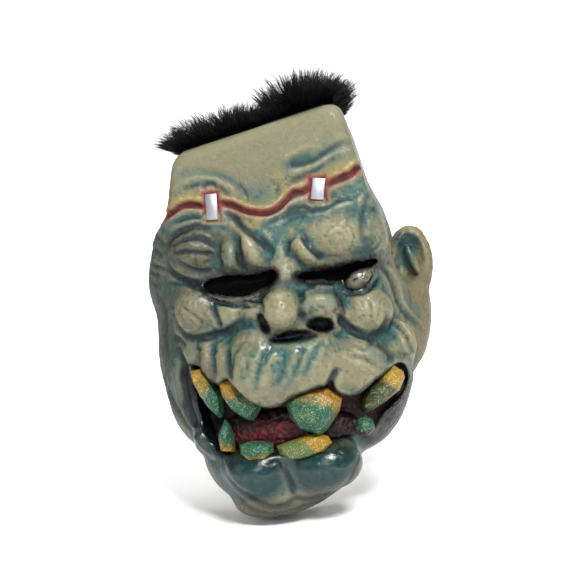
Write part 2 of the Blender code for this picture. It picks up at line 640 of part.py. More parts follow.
def build():
    for obj in list(bpy.data.objects):
        bpy.data.objects.remove(obj, do_unlink=True)

    latex = material("painted_latex", (0.24, 0.24, 0.19), 0.45)
    enamel = material("tooth_enamel", (0.55, 0.38, 0.06), 0.25)
    flesh = material("tongue_latex", (0.16, 0.02, 0.02), 0.5)
    steel = material("staple_steel", (0.75, 0.75, 0.77), 0.3, 1.0)
    black_fur = material("black_fur", (0.01, 0.01, 0.012), 0.9)
    backing = material("fur_backing_cloth", (0.02, 0.02, 0.02), 0.95)
    elastic = material("black_elastic", (0.015, 0.015, 0.018), 0.85)
    patch = material("patch_cloth", (0.05, 0.05, 0.05), 0.9)
    nickel = material("nickel", (0.6, 0.58, 0.54), 0.35, 1.0)
    gauze = material("black_gauze", (0.008, 0.008, 0.01), 0.9)

    hollow = face_skin(latex)
    for name, slot in EYE_SLOTS.items():
        eye_screen(name.replace("eye", "eye_screen"), slot, hollow, gauze)
    fitted = mouth_space("mouth_fit", -GAP)
    tongue(fitted, flesh)
    for name, shape in {**UPPER_TEETH, **LOWER_TEETH}.items():
        tooth(name, *shape, fitted, enamel)
    for name, shape in STAPLES.items():
        staple(name, *shape, steel)

    fur_backing(backing)
    fur_tuft("fur_tuft_left", FUR_LEFT, True, black_fur)
    fur_tuft("fur_tuft_right", FUR_RIGHT, False, black_fur)

    pivot = bpy.data.objects.new("strap_pivot", None)
    pivot.location = Vector((SIDE_CENTRE_X, PIVOT_Y, PIVOT_Z)) * MM
    bpy.context.scene.collection.objects.link(pivot)
    elastic_band(pivot, elastic)
    _, patch_outer, _, washer_outer, _ = side_stack()
    for side, tag in ((-1, "left"), (1, "right")):
        ring(f"patch_{tag}", side, patch_outer, PATCH_THICKNESS, PATCH_RADIUS, patch)
        ring(f"washer_{tag}", side, washer_outer, WASHER_THICKNESS, WASHER_RADIUS, nickel)
        rivet(f"rivet_{tag}", side, nickel)


build()
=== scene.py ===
"""The latex monster mask's looks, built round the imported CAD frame.

Frame: metres, +Z up, the face looks along -Y and +X is on the viewer's right.
Shapes are worked out in millimetres and scaled when their meshes are made.
"""

import math

import bmesh
import bpy
import numpy as np
import openvdb
from mathutils import Matrix, Vector


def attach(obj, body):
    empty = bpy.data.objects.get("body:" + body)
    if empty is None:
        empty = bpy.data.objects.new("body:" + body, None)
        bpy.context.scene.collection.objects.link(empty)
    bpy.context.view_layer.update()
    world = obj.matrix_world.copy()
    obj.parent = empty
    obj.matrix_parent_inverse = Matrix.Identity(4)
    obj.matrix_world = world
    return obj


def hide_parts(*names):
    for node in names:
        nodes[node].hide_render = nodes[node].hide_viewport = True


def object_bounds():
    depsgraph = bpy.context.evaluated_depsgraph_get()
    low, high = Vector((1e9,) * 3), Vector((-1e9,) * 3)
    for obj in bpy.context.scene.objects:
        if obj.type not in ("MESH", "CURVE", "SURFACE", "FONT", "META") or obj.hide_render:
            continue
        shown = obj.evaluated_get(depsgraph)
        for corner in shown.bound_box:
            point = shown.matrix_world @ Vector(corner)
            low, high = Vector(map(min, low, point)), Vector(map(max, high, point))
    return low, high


MM = 0.001
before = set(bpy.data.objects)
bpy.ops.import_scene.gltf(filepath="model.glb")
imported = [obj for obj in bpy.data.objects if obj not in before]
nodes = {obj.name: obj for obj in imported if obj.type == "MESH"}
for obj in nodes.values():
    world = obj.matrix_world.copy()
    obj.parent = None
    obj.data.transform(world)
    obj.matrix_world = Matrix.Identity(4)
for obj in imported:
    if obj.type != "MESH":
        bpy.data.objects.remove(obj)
cad_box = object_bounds()

# --- Camera ---
CAMERA_AZIMUTH = 8.0         # degrees towards +X from straight in front
CAMERA_ROLL = 5.0            # how far the mask leans anticlockwise in the picture
CAMERA_DISTANCE = 0.65
CAMERA_TARGET = Vector((0.002, -0.050, -0.004))
SENSOR = 36.0
VIEW_WIDTH = 0.4234          # width of the view at the target, in metres


def make_camera():
    azimuth, roll = math.radians(CAMERA_AZIMUTH), math.radians(CAMERA_ROLL)
    back = Vector((math.sin(azimuth), -math.cos(azimuth), 0))
    level = Vector((math.cos(azimuth), math.sin(azimuth), 0))
    right = level * math.cos(roll) - Vector((0, 0, math.sin(roll)))
    up = level * math.sin(roll) + Vector((0, 0, math.cos(roll)))
    data = bpy.data.cameras.new("camera")
    data.sensor_width = SENSOR
    data.lens = SENSOR * CAMERA_DISTANCE / VIEW_WIDTH
    data.clip_start, data.clip_end = 0.01, 20
    camera = bpy.data.objects.new("camera", data)
    bpy.context.scene.collection.objects.link(camera)
    turn = Matrix((right, up, back)).transposed().to_4x4()
    camera.matrix_world = Matrix.Translation(CAMERA_TARGET + back * CAMERA_DISTANCE) @ turn
    bpy.context.scene.camera = camera


# --- Small maths helpers ---

def srgb(r, g, b):
    """A linear colour from 0..255 screen values."""
    return tuple(((c / 255 + 0.055) / 1.055) ** 2.4 if c > 10 else c / 255 / 12.92 for c in (r, g, b))


def smoothstep(low, high, value):
    t = np.clip((value - low) / (high - low), 0, 1)
    return t * t * (3 - 2 * t)


def blend_corners(cell, t, value_at):
    """Mixes the eight corner values of each cell at the share t of the way across it."""
    total = np.zeros(len(t))
    for i, j, k in np.ndindex(2, 2, 2):
        weight = ((t[:, 0] if i else 1 - t[:, 0]) * (t[:, 1] if j else 1 - t[:, 1])
                  * (t[:, 2] if k else 1 - t[:, 2]))
        total += weight * value_at(cell[:, 0] + i, cell[:, 1] + j, cell[:, 2] + k)
    return total


def bell(value):
    return np.exp(-0.5 * value ** 2)


class ValueNoise:
    """Smooth repeatable noise from -1 to 1 on a wrapped random lattice."""

    SIZE = 32

    def __init__(self, seed):
        self.lattice = np.random.default_rng(seed).uniform(-1, 1, (self.SIZE,) * 3)

    def at(self, points, scale, stretch=(1, 1, 1)):
        p = points / (np.array(stretch) * scale)
        cell = np.floor(p).astype(int)
        t = p - cell
        t = t * t * (3 - 2 * t)
        return blend_corners(cell, t, lambda *corner: self.lattice[tuple(a % self.SIZE for a in corner)])


def curve_through(points, spacing=1.5):
    """A dense smooth line through a few (x, z) points."""
    p = np.array(points, float)
    if len(p) == 2:
        count = max(2, int(np.linalg.norm(p[1] - p[0]) / spacing))
        return p[0] + (p[1] - p[0]) * np.linspace(0, 1, count)[:, None]
    padded = np.vstack([2 * p[0] - p[1], p, 2 * p[-1] - p[-2]])
    line = []
    for a, b, c, d in zip(padded, padded[1:], padded[2:], padded[3:]):
        steps = max(2, int(np.linalg.norm(c - b) / spacing))
        t = np.linspace(0, 1, steps, endpoint=False)[:, None]
        line.append(0.5 * (2 * b + (c - a) * t + (2 * a - 5 * b + 4 * c - d) * t ** 2
                           + (3 * b - a - 3 * c + d) * t ** 3))
    return np.vstack(line + [p[-1:]])


def line_distance(flat, line):
    """Distance from each (x, z) to a polyline, and the share of the way along it."""
    best = np.full(len(flat), 1e9)
    share = np.zeros(len(flat))
    count = len(line) - 1
    for i in range(count):
        a, b = line[i], line[i + 1]
        ab = b - a
        t = np.clip(((flat - a) @ ab) / max(ab @ ab, 1e-9), 0, 1)
        distance = np.hypot(*(flat - a - t[:, None] * ab).T)
        closer = distance < best
        best[closer] = distance[closer]
        share[closer] = ((i + t) / count)[closer]
    return best, share


def outline_distance(x, z, outline):
    """Signed distance to a closed (x, z) outline on a grid, negative inside."""
    best = np.full(x.shape, 1e9)
    inside = np.zeros(x.shape, bool)
    count = len(outline)
    for i in range(count):
        (ax, az), (bx, bz) = outline[i], outline[(i + 1) % count]
        dx, dz = bx - ax, bz - az
        t = np.clip(((x - ax) * dx + (z - az) * dz) / max(dx * dx + dz * dz, 1e-9), 0, 1)
        best = np.minimum(best, np.hypot(x - ax - t * dx, z - az - t * dz))
        crossing = (az > z) != (bz > z)
        with np.errstate(divide="ignore", invalid="ignore"):
            inside ^= crossing & (x < (bx - ax) * (z - az) / (bz - az if bz != az else 1e-9) + ax)
    return np.where(inside, -best, best)


# --- Skin shape: the same masses as the CAD, then the folds of the face ---

CELL = 1.4
LOW = np.array((-118.0, -132.0, -172.0))
HIGH = np.array((116.0, 50.0, 134.0))
FRONT_Y = -30                # the mouth and the eye slits are cut only in front of this
WALL = 3.0
HOLLOW_BLUR = 3.5            # the inside follows the outside only this closely
THINNEST = 0.75              # the thinnest skin, as a share of WALL
RIM_Y = 35
RIM_TURN_Z = -55
RIM_CHIN = (-60, -175)       # (y, z)
CRANIUM = [(-71, 100), (51, 125), (76, 18), (-88, 18)]
FOREHEAD_Y = -80
CRANIUM_BACK_Y = 52
CRANIUM_ROUND = 11

# name: centre, half sizes, tilt, yaw, blend
MASSES = {
    "face": ((-8, -8, -10), (96, 87, 107), 0, 0, 14),
    "left_bulge": ((-70, -28, 8), (38, 44, 44), 0, 0, 10),
    "left_side": ((-75, -24, -46), (31, 42, 54), 0, 0, 10),
    "jowl_right": ((80, 4, -38), (22, 23, 45), -12, 0, 10),
    "mouth_side_right": ((67, -42, -66), (19.5, 38, 30), 0, 0, 8),
    "jaw": ((-12, -35, -84), (84, 59, 51), 0, 0, 12),
    "chin": ((-12, -61, -117), (57, 43, 43), 0, 0, 8),
    "muzzle": ((6, -68, -66), (72, 45, 42), 0, 0, 12),
    "brow_shelf": ((-6, -62, 33), (76, 28, 20), 0, 0, 10),
    "brow_roll_left": ((-54, -66, 47), (30, 20, 9), -3, 0, 6),
    "brow_roll_right": ((36, -68, 50), (34, 19, 8), 4, 0, 6),
    "chin_rim": ((-13, -76, -145), (34, 27, 15.5), 9, 0, 7),
    "upper_lip_left": ((-16, -96, -55), (23, 22, 29), 0, 0, 9),
    "upper_lip_right": ((14, -95, -52), (26, 22, 26), 0, 0, 9),
    "upper_lip_outer": ((48, -84, -59), (21, 22, 21), 0, 12, 8),
    "fold_right_corner": ((76, -52, -47), (10, 22, 16), 8, 30, 8),
    "fold_left_1": ((-42.5, -84, -50), (7, 18, 15), 0, 0, 7),
    "fold_left_2": ((-54, -77, -48), (8, 19, 17), 6, 0, 8),
    "fold_left_3": ((-67, -68, -43), (9, 18, 13), 14, 0, 9),
    "fold_left_4": ((-81, -50, -62), (8, 20, 24), 6, 0, 6),
    "lower_lip_left": ((-25, -88, -126), (25, 22, 19), -4, 0, 5),
    "lower_lip_right": ((21, -88, -125), (26, 21, 18.5), 5, 0, 5),
    "lower_lip_corner": ((-61, -70, -104), (11, 18, 13), 8, -20, 5),
    "lower_lip_corner_2": ((-71, -58, -90), (6, 16, 12), 12, -20, 5),
    "jaw_right": ((57.5, -48, -101), (24, 27, 14), 50, 0, 10),
    "cheek_left": ((-60, -73, -12), (19, 20, 18), -8, 0, 8),
    "cheek_left_inner": ((-34, -81, -17), (15, 17, 12), 22, 0, 7),
    "cheek_right": ((57, -71, -23), (19, 21, 17), 0, 10, 8),
    "tear_right": ((26, -86, -6), (12, 13, 7), 8, 0, 5),
    "nose_bridge": ((5, -86, 3), (14, 18, 21), 0, 0, 9),
    "nose_bulb": ((3, -103, -17), (14.5, 19, 15), 0, 0, 6),
    "nose_base": ((12, -88, -19), (25, 17, 15), 0, 0, 8),
    "nose_wing_right": ((27, -97, -16), (15, 15, 11), -20, 0, 5),
    "nose_wing_right_side": ((37, -90, -25), (6, 14, 11), 0, 0, 5),
    "nose_wing_left": ((-17, -91, -17), (9, 13, 9), 15, 0, 5),
    "eyelid_left": ((-58, -71, 29), (22, 23, 16), -4, 0, 7),
    "brow_left_outer": ((-31, -82, 23), (9, 18, 14), 6, 0, 5),
    "brow_left": ((-16, -84, 26), (9, 19, 18), 26, 0, 4),
    "brow_right": ((41, -76, 30), (27, 20, 20), -5, 8, 8),
    "brow_right_inner": ((20, -84, 22), (8.5, 18, 15), 38, 0, 4),
    "brow_right_outer": ((61, -60, 27), (12, 22, 20), 0, 20, 8),
    "cheek_middle_left": ((-46, -66, -22), (34, 22, 14), 6, 0, 9),
    "cheek_middle_right": ((44, -70, -26), (24, 20, 14), -6, 0, 9),
    "lid_left": ((-31, -79, -6), (25, 13, 5), -10, 0, 4),
    "flap_right": ((54, -78, 0), (10, 11, 6), 26, 0, 2),
}
# name: centre, half sizes, tilt, yaw, blend
HOLLOWS = {
    "socket_left": ((-27, -103, 5.5), (29, 17, 6.5), 2, 0, 4),
    "socket_right": ((42, -100, 5.5), (27, 19, 5.5), 7, 0, 4),
    "nostril_right": ((28, -112, -29), (10, 21, 5.5), -8, 0, 2),
    "under_nose": ((12, -118, -35), (19, 19, 4.5), 4, 0, 3),
    "nostril_left": ((-10.5, -112, -24), (3.5, 14, 7), 28, 0, 2.5),
    "before_ear": ((95, -14, 28), (27, 40, 35), 0, 0, 6),
    "lip_notch": ((31, -116, -72), (3, 12, 5), 0, 0, 4),
}
# the ears' masses (1) and hollows (-1), in order: sign, then as above
EARS = [
    (1, (89.5, 9, 8), (18.5, 9, 31), -4, 0, 4),
    (1, (-97, 12, 9), (12, 9, 28), 4, 0, 5),
    (-1, (90, -1, 13), (13, 8.5, 21), -4, 0, 2.5),
    (1, (92, 2, 12), (4, 6, 13), 20, 0, 3),
    (1, (83, 1, 2), (5, 7, 7), 0, 0, 3),
    (1, (90, 2, -12), (11, 9, 9), 0, 0, 4),
    (-1, (-107, 1, 15), (4.5, 6, 13), 0, 0, 3),
]
EAR_BLEND = 4
# rounded blocks that join the masses: centre, half sizes, edge radius, blend
BLOCKS = [((-13, -14, 30), (84, 60, 26), 22, 12), ((-4, 30, -26), (98, 26, 36), 9, 8)]

MOUTH = [(-70, -52), (-62, -54), (-53, -64), (-46, -65), (-40, -61), (-33, -68), (-24, -77), (-13, -82),
         (-3, -81), (5, -76), (14, -73), (28, -70), (38, -77), (48, -78), (62, -69), (77, -61),
         (81, -71), (76, -83), (62, -94), (52, -106), (36, -107), (16, -110), (-5, -113), (-30, -110),
         (-48, -112), (-60, -99), (-64, -86), (-67, -68)]
MOUTH_AXIS = (6, 16)         # (x, y) of the upright axis of the mouth's rounded back wall
MOUTH_RADIUS = 100
EYE_LEFT = [(-53, 6), (-43, 8.5), (-26, 8.5), (-13, 8), (-1.5, 10), (-1, 4), (-12, -0.5), (-21.5, -3),
            (-31, -3.5), (-42, -1.5), (-52, 2)]
EYE_RIGHT = [(15, 5.5), (28, 6.5), (40, 7.5), (52, 10), (66, 12.5), (66, 9), (58, 8), (49, 5.5), (45, 1.5),
             (37, 1), (28, 2.5), (17, 3)]
STAPLES = {"staple_left": ((-44, 59), 8.5, 18.5, -1), "staple_right": ((32, 64), 9, 15, -10)}
SEAT_ROOM = 2.0              # flat skin left round a staple
SEAT_MARGIN = 5              # how much wider the skin behind the flat is
SEAT_PLATE_Y, SEAT_CUT_Y = -78.5, -85.7
PIVOT = (-4, 20, -28)        # the middle of the strap's axis
SIDE_HALF = 98               # from there to the flat round a rivet
SEAT_RADIUS = 11.5

axes = [np.arange(low, high, CELL, dtype=np.float32) for low, high in zip(LOW, HIGH)]
AX, AY, AZ = axes[0][:, None, None], axes[1][None, :, None], axes[2][None, None, :]


def smooth_min(a, b, k):
    h = np.clip(0.5 + 0.5 * (b - a) / k, 0, 1)
    return b * (1 - h) + a * h - k * h * (1 - h)


def smooth_max(a, b, k):
    return -smooth_min(-a, -b, k)


def window(centre, reach):
    """Slices of the grid within `reach` of a centre, on each axis."""
    found = []
    for axis, middle, size in zip(axes, centre, reach):
        first = int(np.searchsorted(axis, middle - size))
        last = int(np.searchsorted(axis, middle + size))
        found.append(slice(first, max(last, first + 1)))
    return tuple(found)


def ellipsoid(centre, half, tilt, yaw, part):
    """Distance to an ellipsoid that is yawed about Z, then tilted to lift its +X end."""
    x, y, z = AX[part[0]] - centre[0], AY[:, part[1]] - centre[1], AZ[:, :, part[2]] - centre[2]
    ca, sa = math.cos(math.radians(yaw)), math.sin(math.radians(yaw))
    ct, st = math.cos(math.radians(tilt)), math.sin(math.radians(tilt))
    side, depth = x * ca + y * sa, y * ca - x * sa
    across, up = side * ct + z * st, z * ct - side * st
    k0 = np.sqrt((across / half[0]) ** 2 + (depth / half[1]) ** 2 + (up / half[2]) ** 2)
    k1 = np.sqrt((across / half[0] ** 2) ** 2 + (depth / half[1] ** 2) ** 2 + (up / half[2] ** 2) ** 2)
    return k0 * (k0 - 1) / np.maximum(k1, 1e-4)


def add_lobe(field, shape, sign=1):
    centre, half, tilt, yaw, k = shape
    reach = [max(half[0], half[2]) + k + 3] * 3 if tilt or yaw else [size + k + 3 for size in half]
    reach[1] = max(half[1], reach[0] if yaw else half[1]) + k + 3
    part = window(centre, reach)
    distance = ellipsoid(centre, half, tilt, yaw, part)
    field[part] = smooth_min(field[part], distance, k) if sign > 0 else smooth_max(field[part], -distance, k)


def box_distance(centre, half, radius=0.0, tilt=0.0):
    x, y, z = AX - centre[0], AY - centre[1], AZ - centre[2]
    ct, st = math.cos(math.radians(tilt)), math.sin(math.radians(tilt))
    q = [abs(x * ct + z * st) - half[0] + radius, abs(y) - half[1] + radius, abs(z * ct - x * st) - half[2] + radius]
    outside = np.sqrt(sum(np.maximum(a, 0) ** 2 for a in q))
    return outside + np.minimum(np.maximum(np.maximum(q[0], q[1]), q[2]), 0) - radius


def cranium_distance():
    flat = None
    count = len(CRANIUM)
    for i in range(count):
        (ax, az), (bx, bz) = CRANIUM[i], CRANIUM[(i + 1) % count]
        length = math.hypot(bx - ax, bz - az)
        side = ((AZ - az) * (bx - ax) - (AX - ax) * (bz - az)) / length
        flat = side if flat is None else smooth_max(flat, side, CRANIUM_ROUND)
    middle = (FOREHEAD_Y + CRANIUM_BACK_Y) / 2
    return smooth_max(flat, abs(AY - middle) - (CRANIUM_BACK_Y - FOREHEAD_Y) / 2, CRANIUM_ROUND)


def blur(field, sigma):
    reach = int(math.ceil(2.5 * sigma / CELL))
    weights = np.exp(-0.5 * (np.arange(-reach, reach + 1) * CELL / sigma) ** 2)
    weights /= weights.sum()
    for axis in range(3):
        padded = np.pad(field, [(reach, reach) if a == axis else (0, 0) for a in range(3)], mode="edge")
        count = field.shape[axis]
        total = np.zeros_like(field)
        for i, weight in enumerate(weights):
            part = [slice(None)] * 3
            part[axis] = slice(i, i + count)
            total += np.float32(weight) * padded[tuple(part)]
        field = total
    return field


def smooth_outline(points, steps=4):
    p = np.array(points, float)
    before, after, beyond = np.roll(p, 1, 0), np.roll(p, -1, 0), np.roll(p, -2, 0)
    line = []
    for t in np.linspace(0, 1, steps, endpoint=False):
        line.append(0.5 * (2 * p + (after - before) * t + (2 * before - 5 * p + 4 * after - beyond) * t ** 2
                           + (3 * p - before - 3 * after + beyond) * t ** 3))
    return np.stack(line, 1).reshape(-1, 2)


def through_cut(outline):
    """Distance to a straight hole along Y with this outline, as a thin grid."""
    x, z = np.meshgrid(axes[0], axes[2], indexing="ij")
    return outline_distance(x, z, smooth_outline(outline)).astype(np.float32)[:, None, :]


def side_disc(x_from, x_to, radius):
    """Distance to a disc about the strap's pivot axis, between two distances from the side's centre plane."""
    across = abs(AX - PIVOT[0])
    radial = np.sqrt((AY - PIVOT[1]) ** 2 + (AZ - PIVOT[2]) ** 2) - radius
    return np.maximum(radial, abs(across - (x_from + x_to) / 2) - (x_to - x_from) / 2)


def sculpt():
    """The skin's distance field, and the field of its outer surface alone."""
    outer = cranium_distance().astype(np.float32)
    for centre, half, radius, blend in BLOCKS:
        outer = smooth_min(outer, box_distance(centre, half, radius), blend)
    for shape in MASSES.values():
        add_lobe(outer, shape)
    for shape in HOLLOWS.values():
        add_lobe(outer, shape, -1)
    mouth = through_cut(MOUTH)
    wall = MOUTH_RADIUS - np.sqrt((AX - MOUTH_AXIS[0]) ** 2 + (AY - MOUTH_AXIS[1]) ** 2)
    front = AY - FRONT_Y + 0 * AX
    pocket = smooth_max(smooth_max(mouth, wall, 6), front, 4)
    outer = smooth_max(outer, -pocket, 5)

    hollow = np.maximum(blur(outer, HOLLOW_BLUR) + WALL, outer + THINNEST * WALL)
    ears = np.full_like(outer, 9.0)
    for sign, *shape in EARS:
        add_lobe(ears, shape, sign)
    outer = smooth_min(outer, ears, EAR_BLEND)

    skin = np.maximum(outer, -hollow)
    seat_outer, seat_inner = SIDE_HALF - 0.3, SIDE_HALF - WALL + 0.3
    skin = np.minimum(skin, side_disc(seat_inner, seat_outer, SEAT_RADIUS + 2))
    for first, last in ((seat_outer, seat_outer + 12), (seat_inner - 12, seat_inner)):
        skin = np.maximum(skin, -side_disc(first, last, SEAT_RADIUS))
    for (centre, width, height, tilt) in STAPLES.values():
        half_x, half_z = width / 2 + SEAT_ROOM, height / 2 + SEAT_ROOM
        plate = box_distance((centre[0], SEAT_PLATE_Y, centre[1]), (half_x + SEAT_MARGIN, 1.2, half_z + SEAT_MARGIN),
                             0.3, tilt)
        skin = np.minimum(skin, plate)
        seat = box_distance((centre[0], SEAT_CUT_Y, centre[1]), (half_x, 6, half_z), 2, tilt)
        skin = smooth_max(skin, -seat, 1)
    for outline in (EYE_LEFT, EYE_RIGHT):
        skin = smooth_max(skin, -np.maximum(through_cut(outline), front - 0 * AZ), 0.8)
    slope = (RIM_TURN_Z - RIM_CHIN[1]) / (RIM_Y - RIM_CHIN[0])
    lean = math.hypot(1, slope)
    behind = smooth_max(AY - RIM_Y + 0 * AZ, (slope * (AY - RIM_Y) - (AZ - RIM_TURN_Z)) / lean, 10)
    skin = smooth_max(skin, behind + 0 * AX, 1.0)
    return skin.astype(np.float32), outer


def sample(field, points):
    """Values of a grid field at points, between its cells."""
    p = (points - LOW) / CELL
    cell = np.clip(np.floor(p).astype(int), 0, np.array(field.shape) - 2)
    t = np.clip(p - cell, 0, 1)
    return blend_corners(cell, t, lambda *corner: field[corner])


def largest_piece(points, quads):
    """Keeps the largest connected piece of a quad mesh."""
    label = np.arange(len(points))
    ends = np.vstack([quads[:, [i, (i + 1) % 4]] for i in range(4)])
    while True:
        low = np.minimum(label[ends[:, 0]], label[ends[:, 1]])
        new = label.copy()
        np.minimum.at(new, ends[:, 0], low)
        np.minimum.at(new, ends[:, 1], low)
        new = new[new]
        if (new == label).all():
            break
        label = new
    names, counts = np.unique(label, return_counts=True)
    keep = label == names[counts.argmax()]
    index = np.cumsum(keep) - 1
    return points[keep], index[quads[keep[quads[:, 0]]]]


class Surface:
    """A quad mesh with its normals and neighbours, for displacing and painting."""

    def __init__(self, points, quads):
        self.points, self.quads = points, quads
        ends = np.vstack([quads[:, [i, (i + 1) % 4]] for i in range(4)])
        self.ends = np.unique(np.sort(ends, 1), axis=0)
        both = np.concatenate([self.ends[:, 0], self.ends[:, 1]])
        self.degree = np.bincount(both, minlength=len(points)).astype(float)

    def normals(self, points=None):
        p = self.points if points is None else points
        q = self.quads
        face = np.cross(p[q[:, 2]] - p[q[:, 0]], p[q[:, 3]] - p[q[:, 1]])
        total = np.stack([np.bincount(q.ravel(), np.repeat(face[:, i], 4), len(p)) for i in range(3)], 1)
        return total / np.maximum(np.linalg.norm(total, axis=1, keepdims=True), 1e-12)

    def average(self, values):
        """Each vertex's mean over its neighbours."""
        a, b = self.ends.T
        if values.ndim == 1:
            return (np.bincount(a, values[b], len(values)) + np.bincount(b, values[a], len(values))) / self.degree
        return np.stack([self.average(values[:, i]) for i in range(values.shape[1])], 1)

    def smoothed(self, values, rounds):
        for _ in range(rounds):
            values = 0.4 * values + 0.6 * self.average(values)
        return values


# The scar across the forehead, as (x, z)
SCAR = [(-79.5, 55), (-73, 58), (-66, 61.7), (-60, 62.4), (-52, 60.6), (-44, 60), (-39, 61), (-32, 59.8),
        (-26, 56.8), (-19, 53.2), (-12, 51.3), (-4.6, 50.5), (1, 52.2), (6, 55.4), (10.5, 59.6), (15.5, 62.7),
        (21, 63), (25, 65), (32, 65), (37, 65.5), (42.5, 68), (49.5, 70), (55, 72), (60, 76), (64, 77),
        (70, 73)]
# Creases that are painted too, as (x, z)
LID_CREASE = [(-79, 30), (-76, 38), (-66, 44), (-54, 46.5), (-42, 43)]
BROW_CREASE = [(-36, 57), (-28, 50), (-22, 43), (-9, 32), (0, 21)]
SCAR_FOLD = [(2, 48), (10.5, 52), (21, 53), (27.5, 50), (36, 50), (45.5, 54), (56, 56)]
BROW_GROOVE_LEFT = [(-24, 38), (-24, 27), (-24.5, 17), (-20, 11)]
BROW_GROOVE_RIGHT = [(19, 33), (22, 29), (26, 22), (33, 14)]
LID_FOLD_TOP = [(-74, 33), (-66, 37), (-54, 38.5), (-46, 34), (-40, 28)]
LID_FOLD_LOW = [(-72, 29), (-63, 29), (-53, 27), (-46, 26), (-42, 25)]
NOSE_GROOVE = [(38, -8), (41.5, -14), (43, -22), (41, -32)]
LIP_CLEFT = [(-6, -120), (-3, -128), (-1, -136), (-1, -143)]
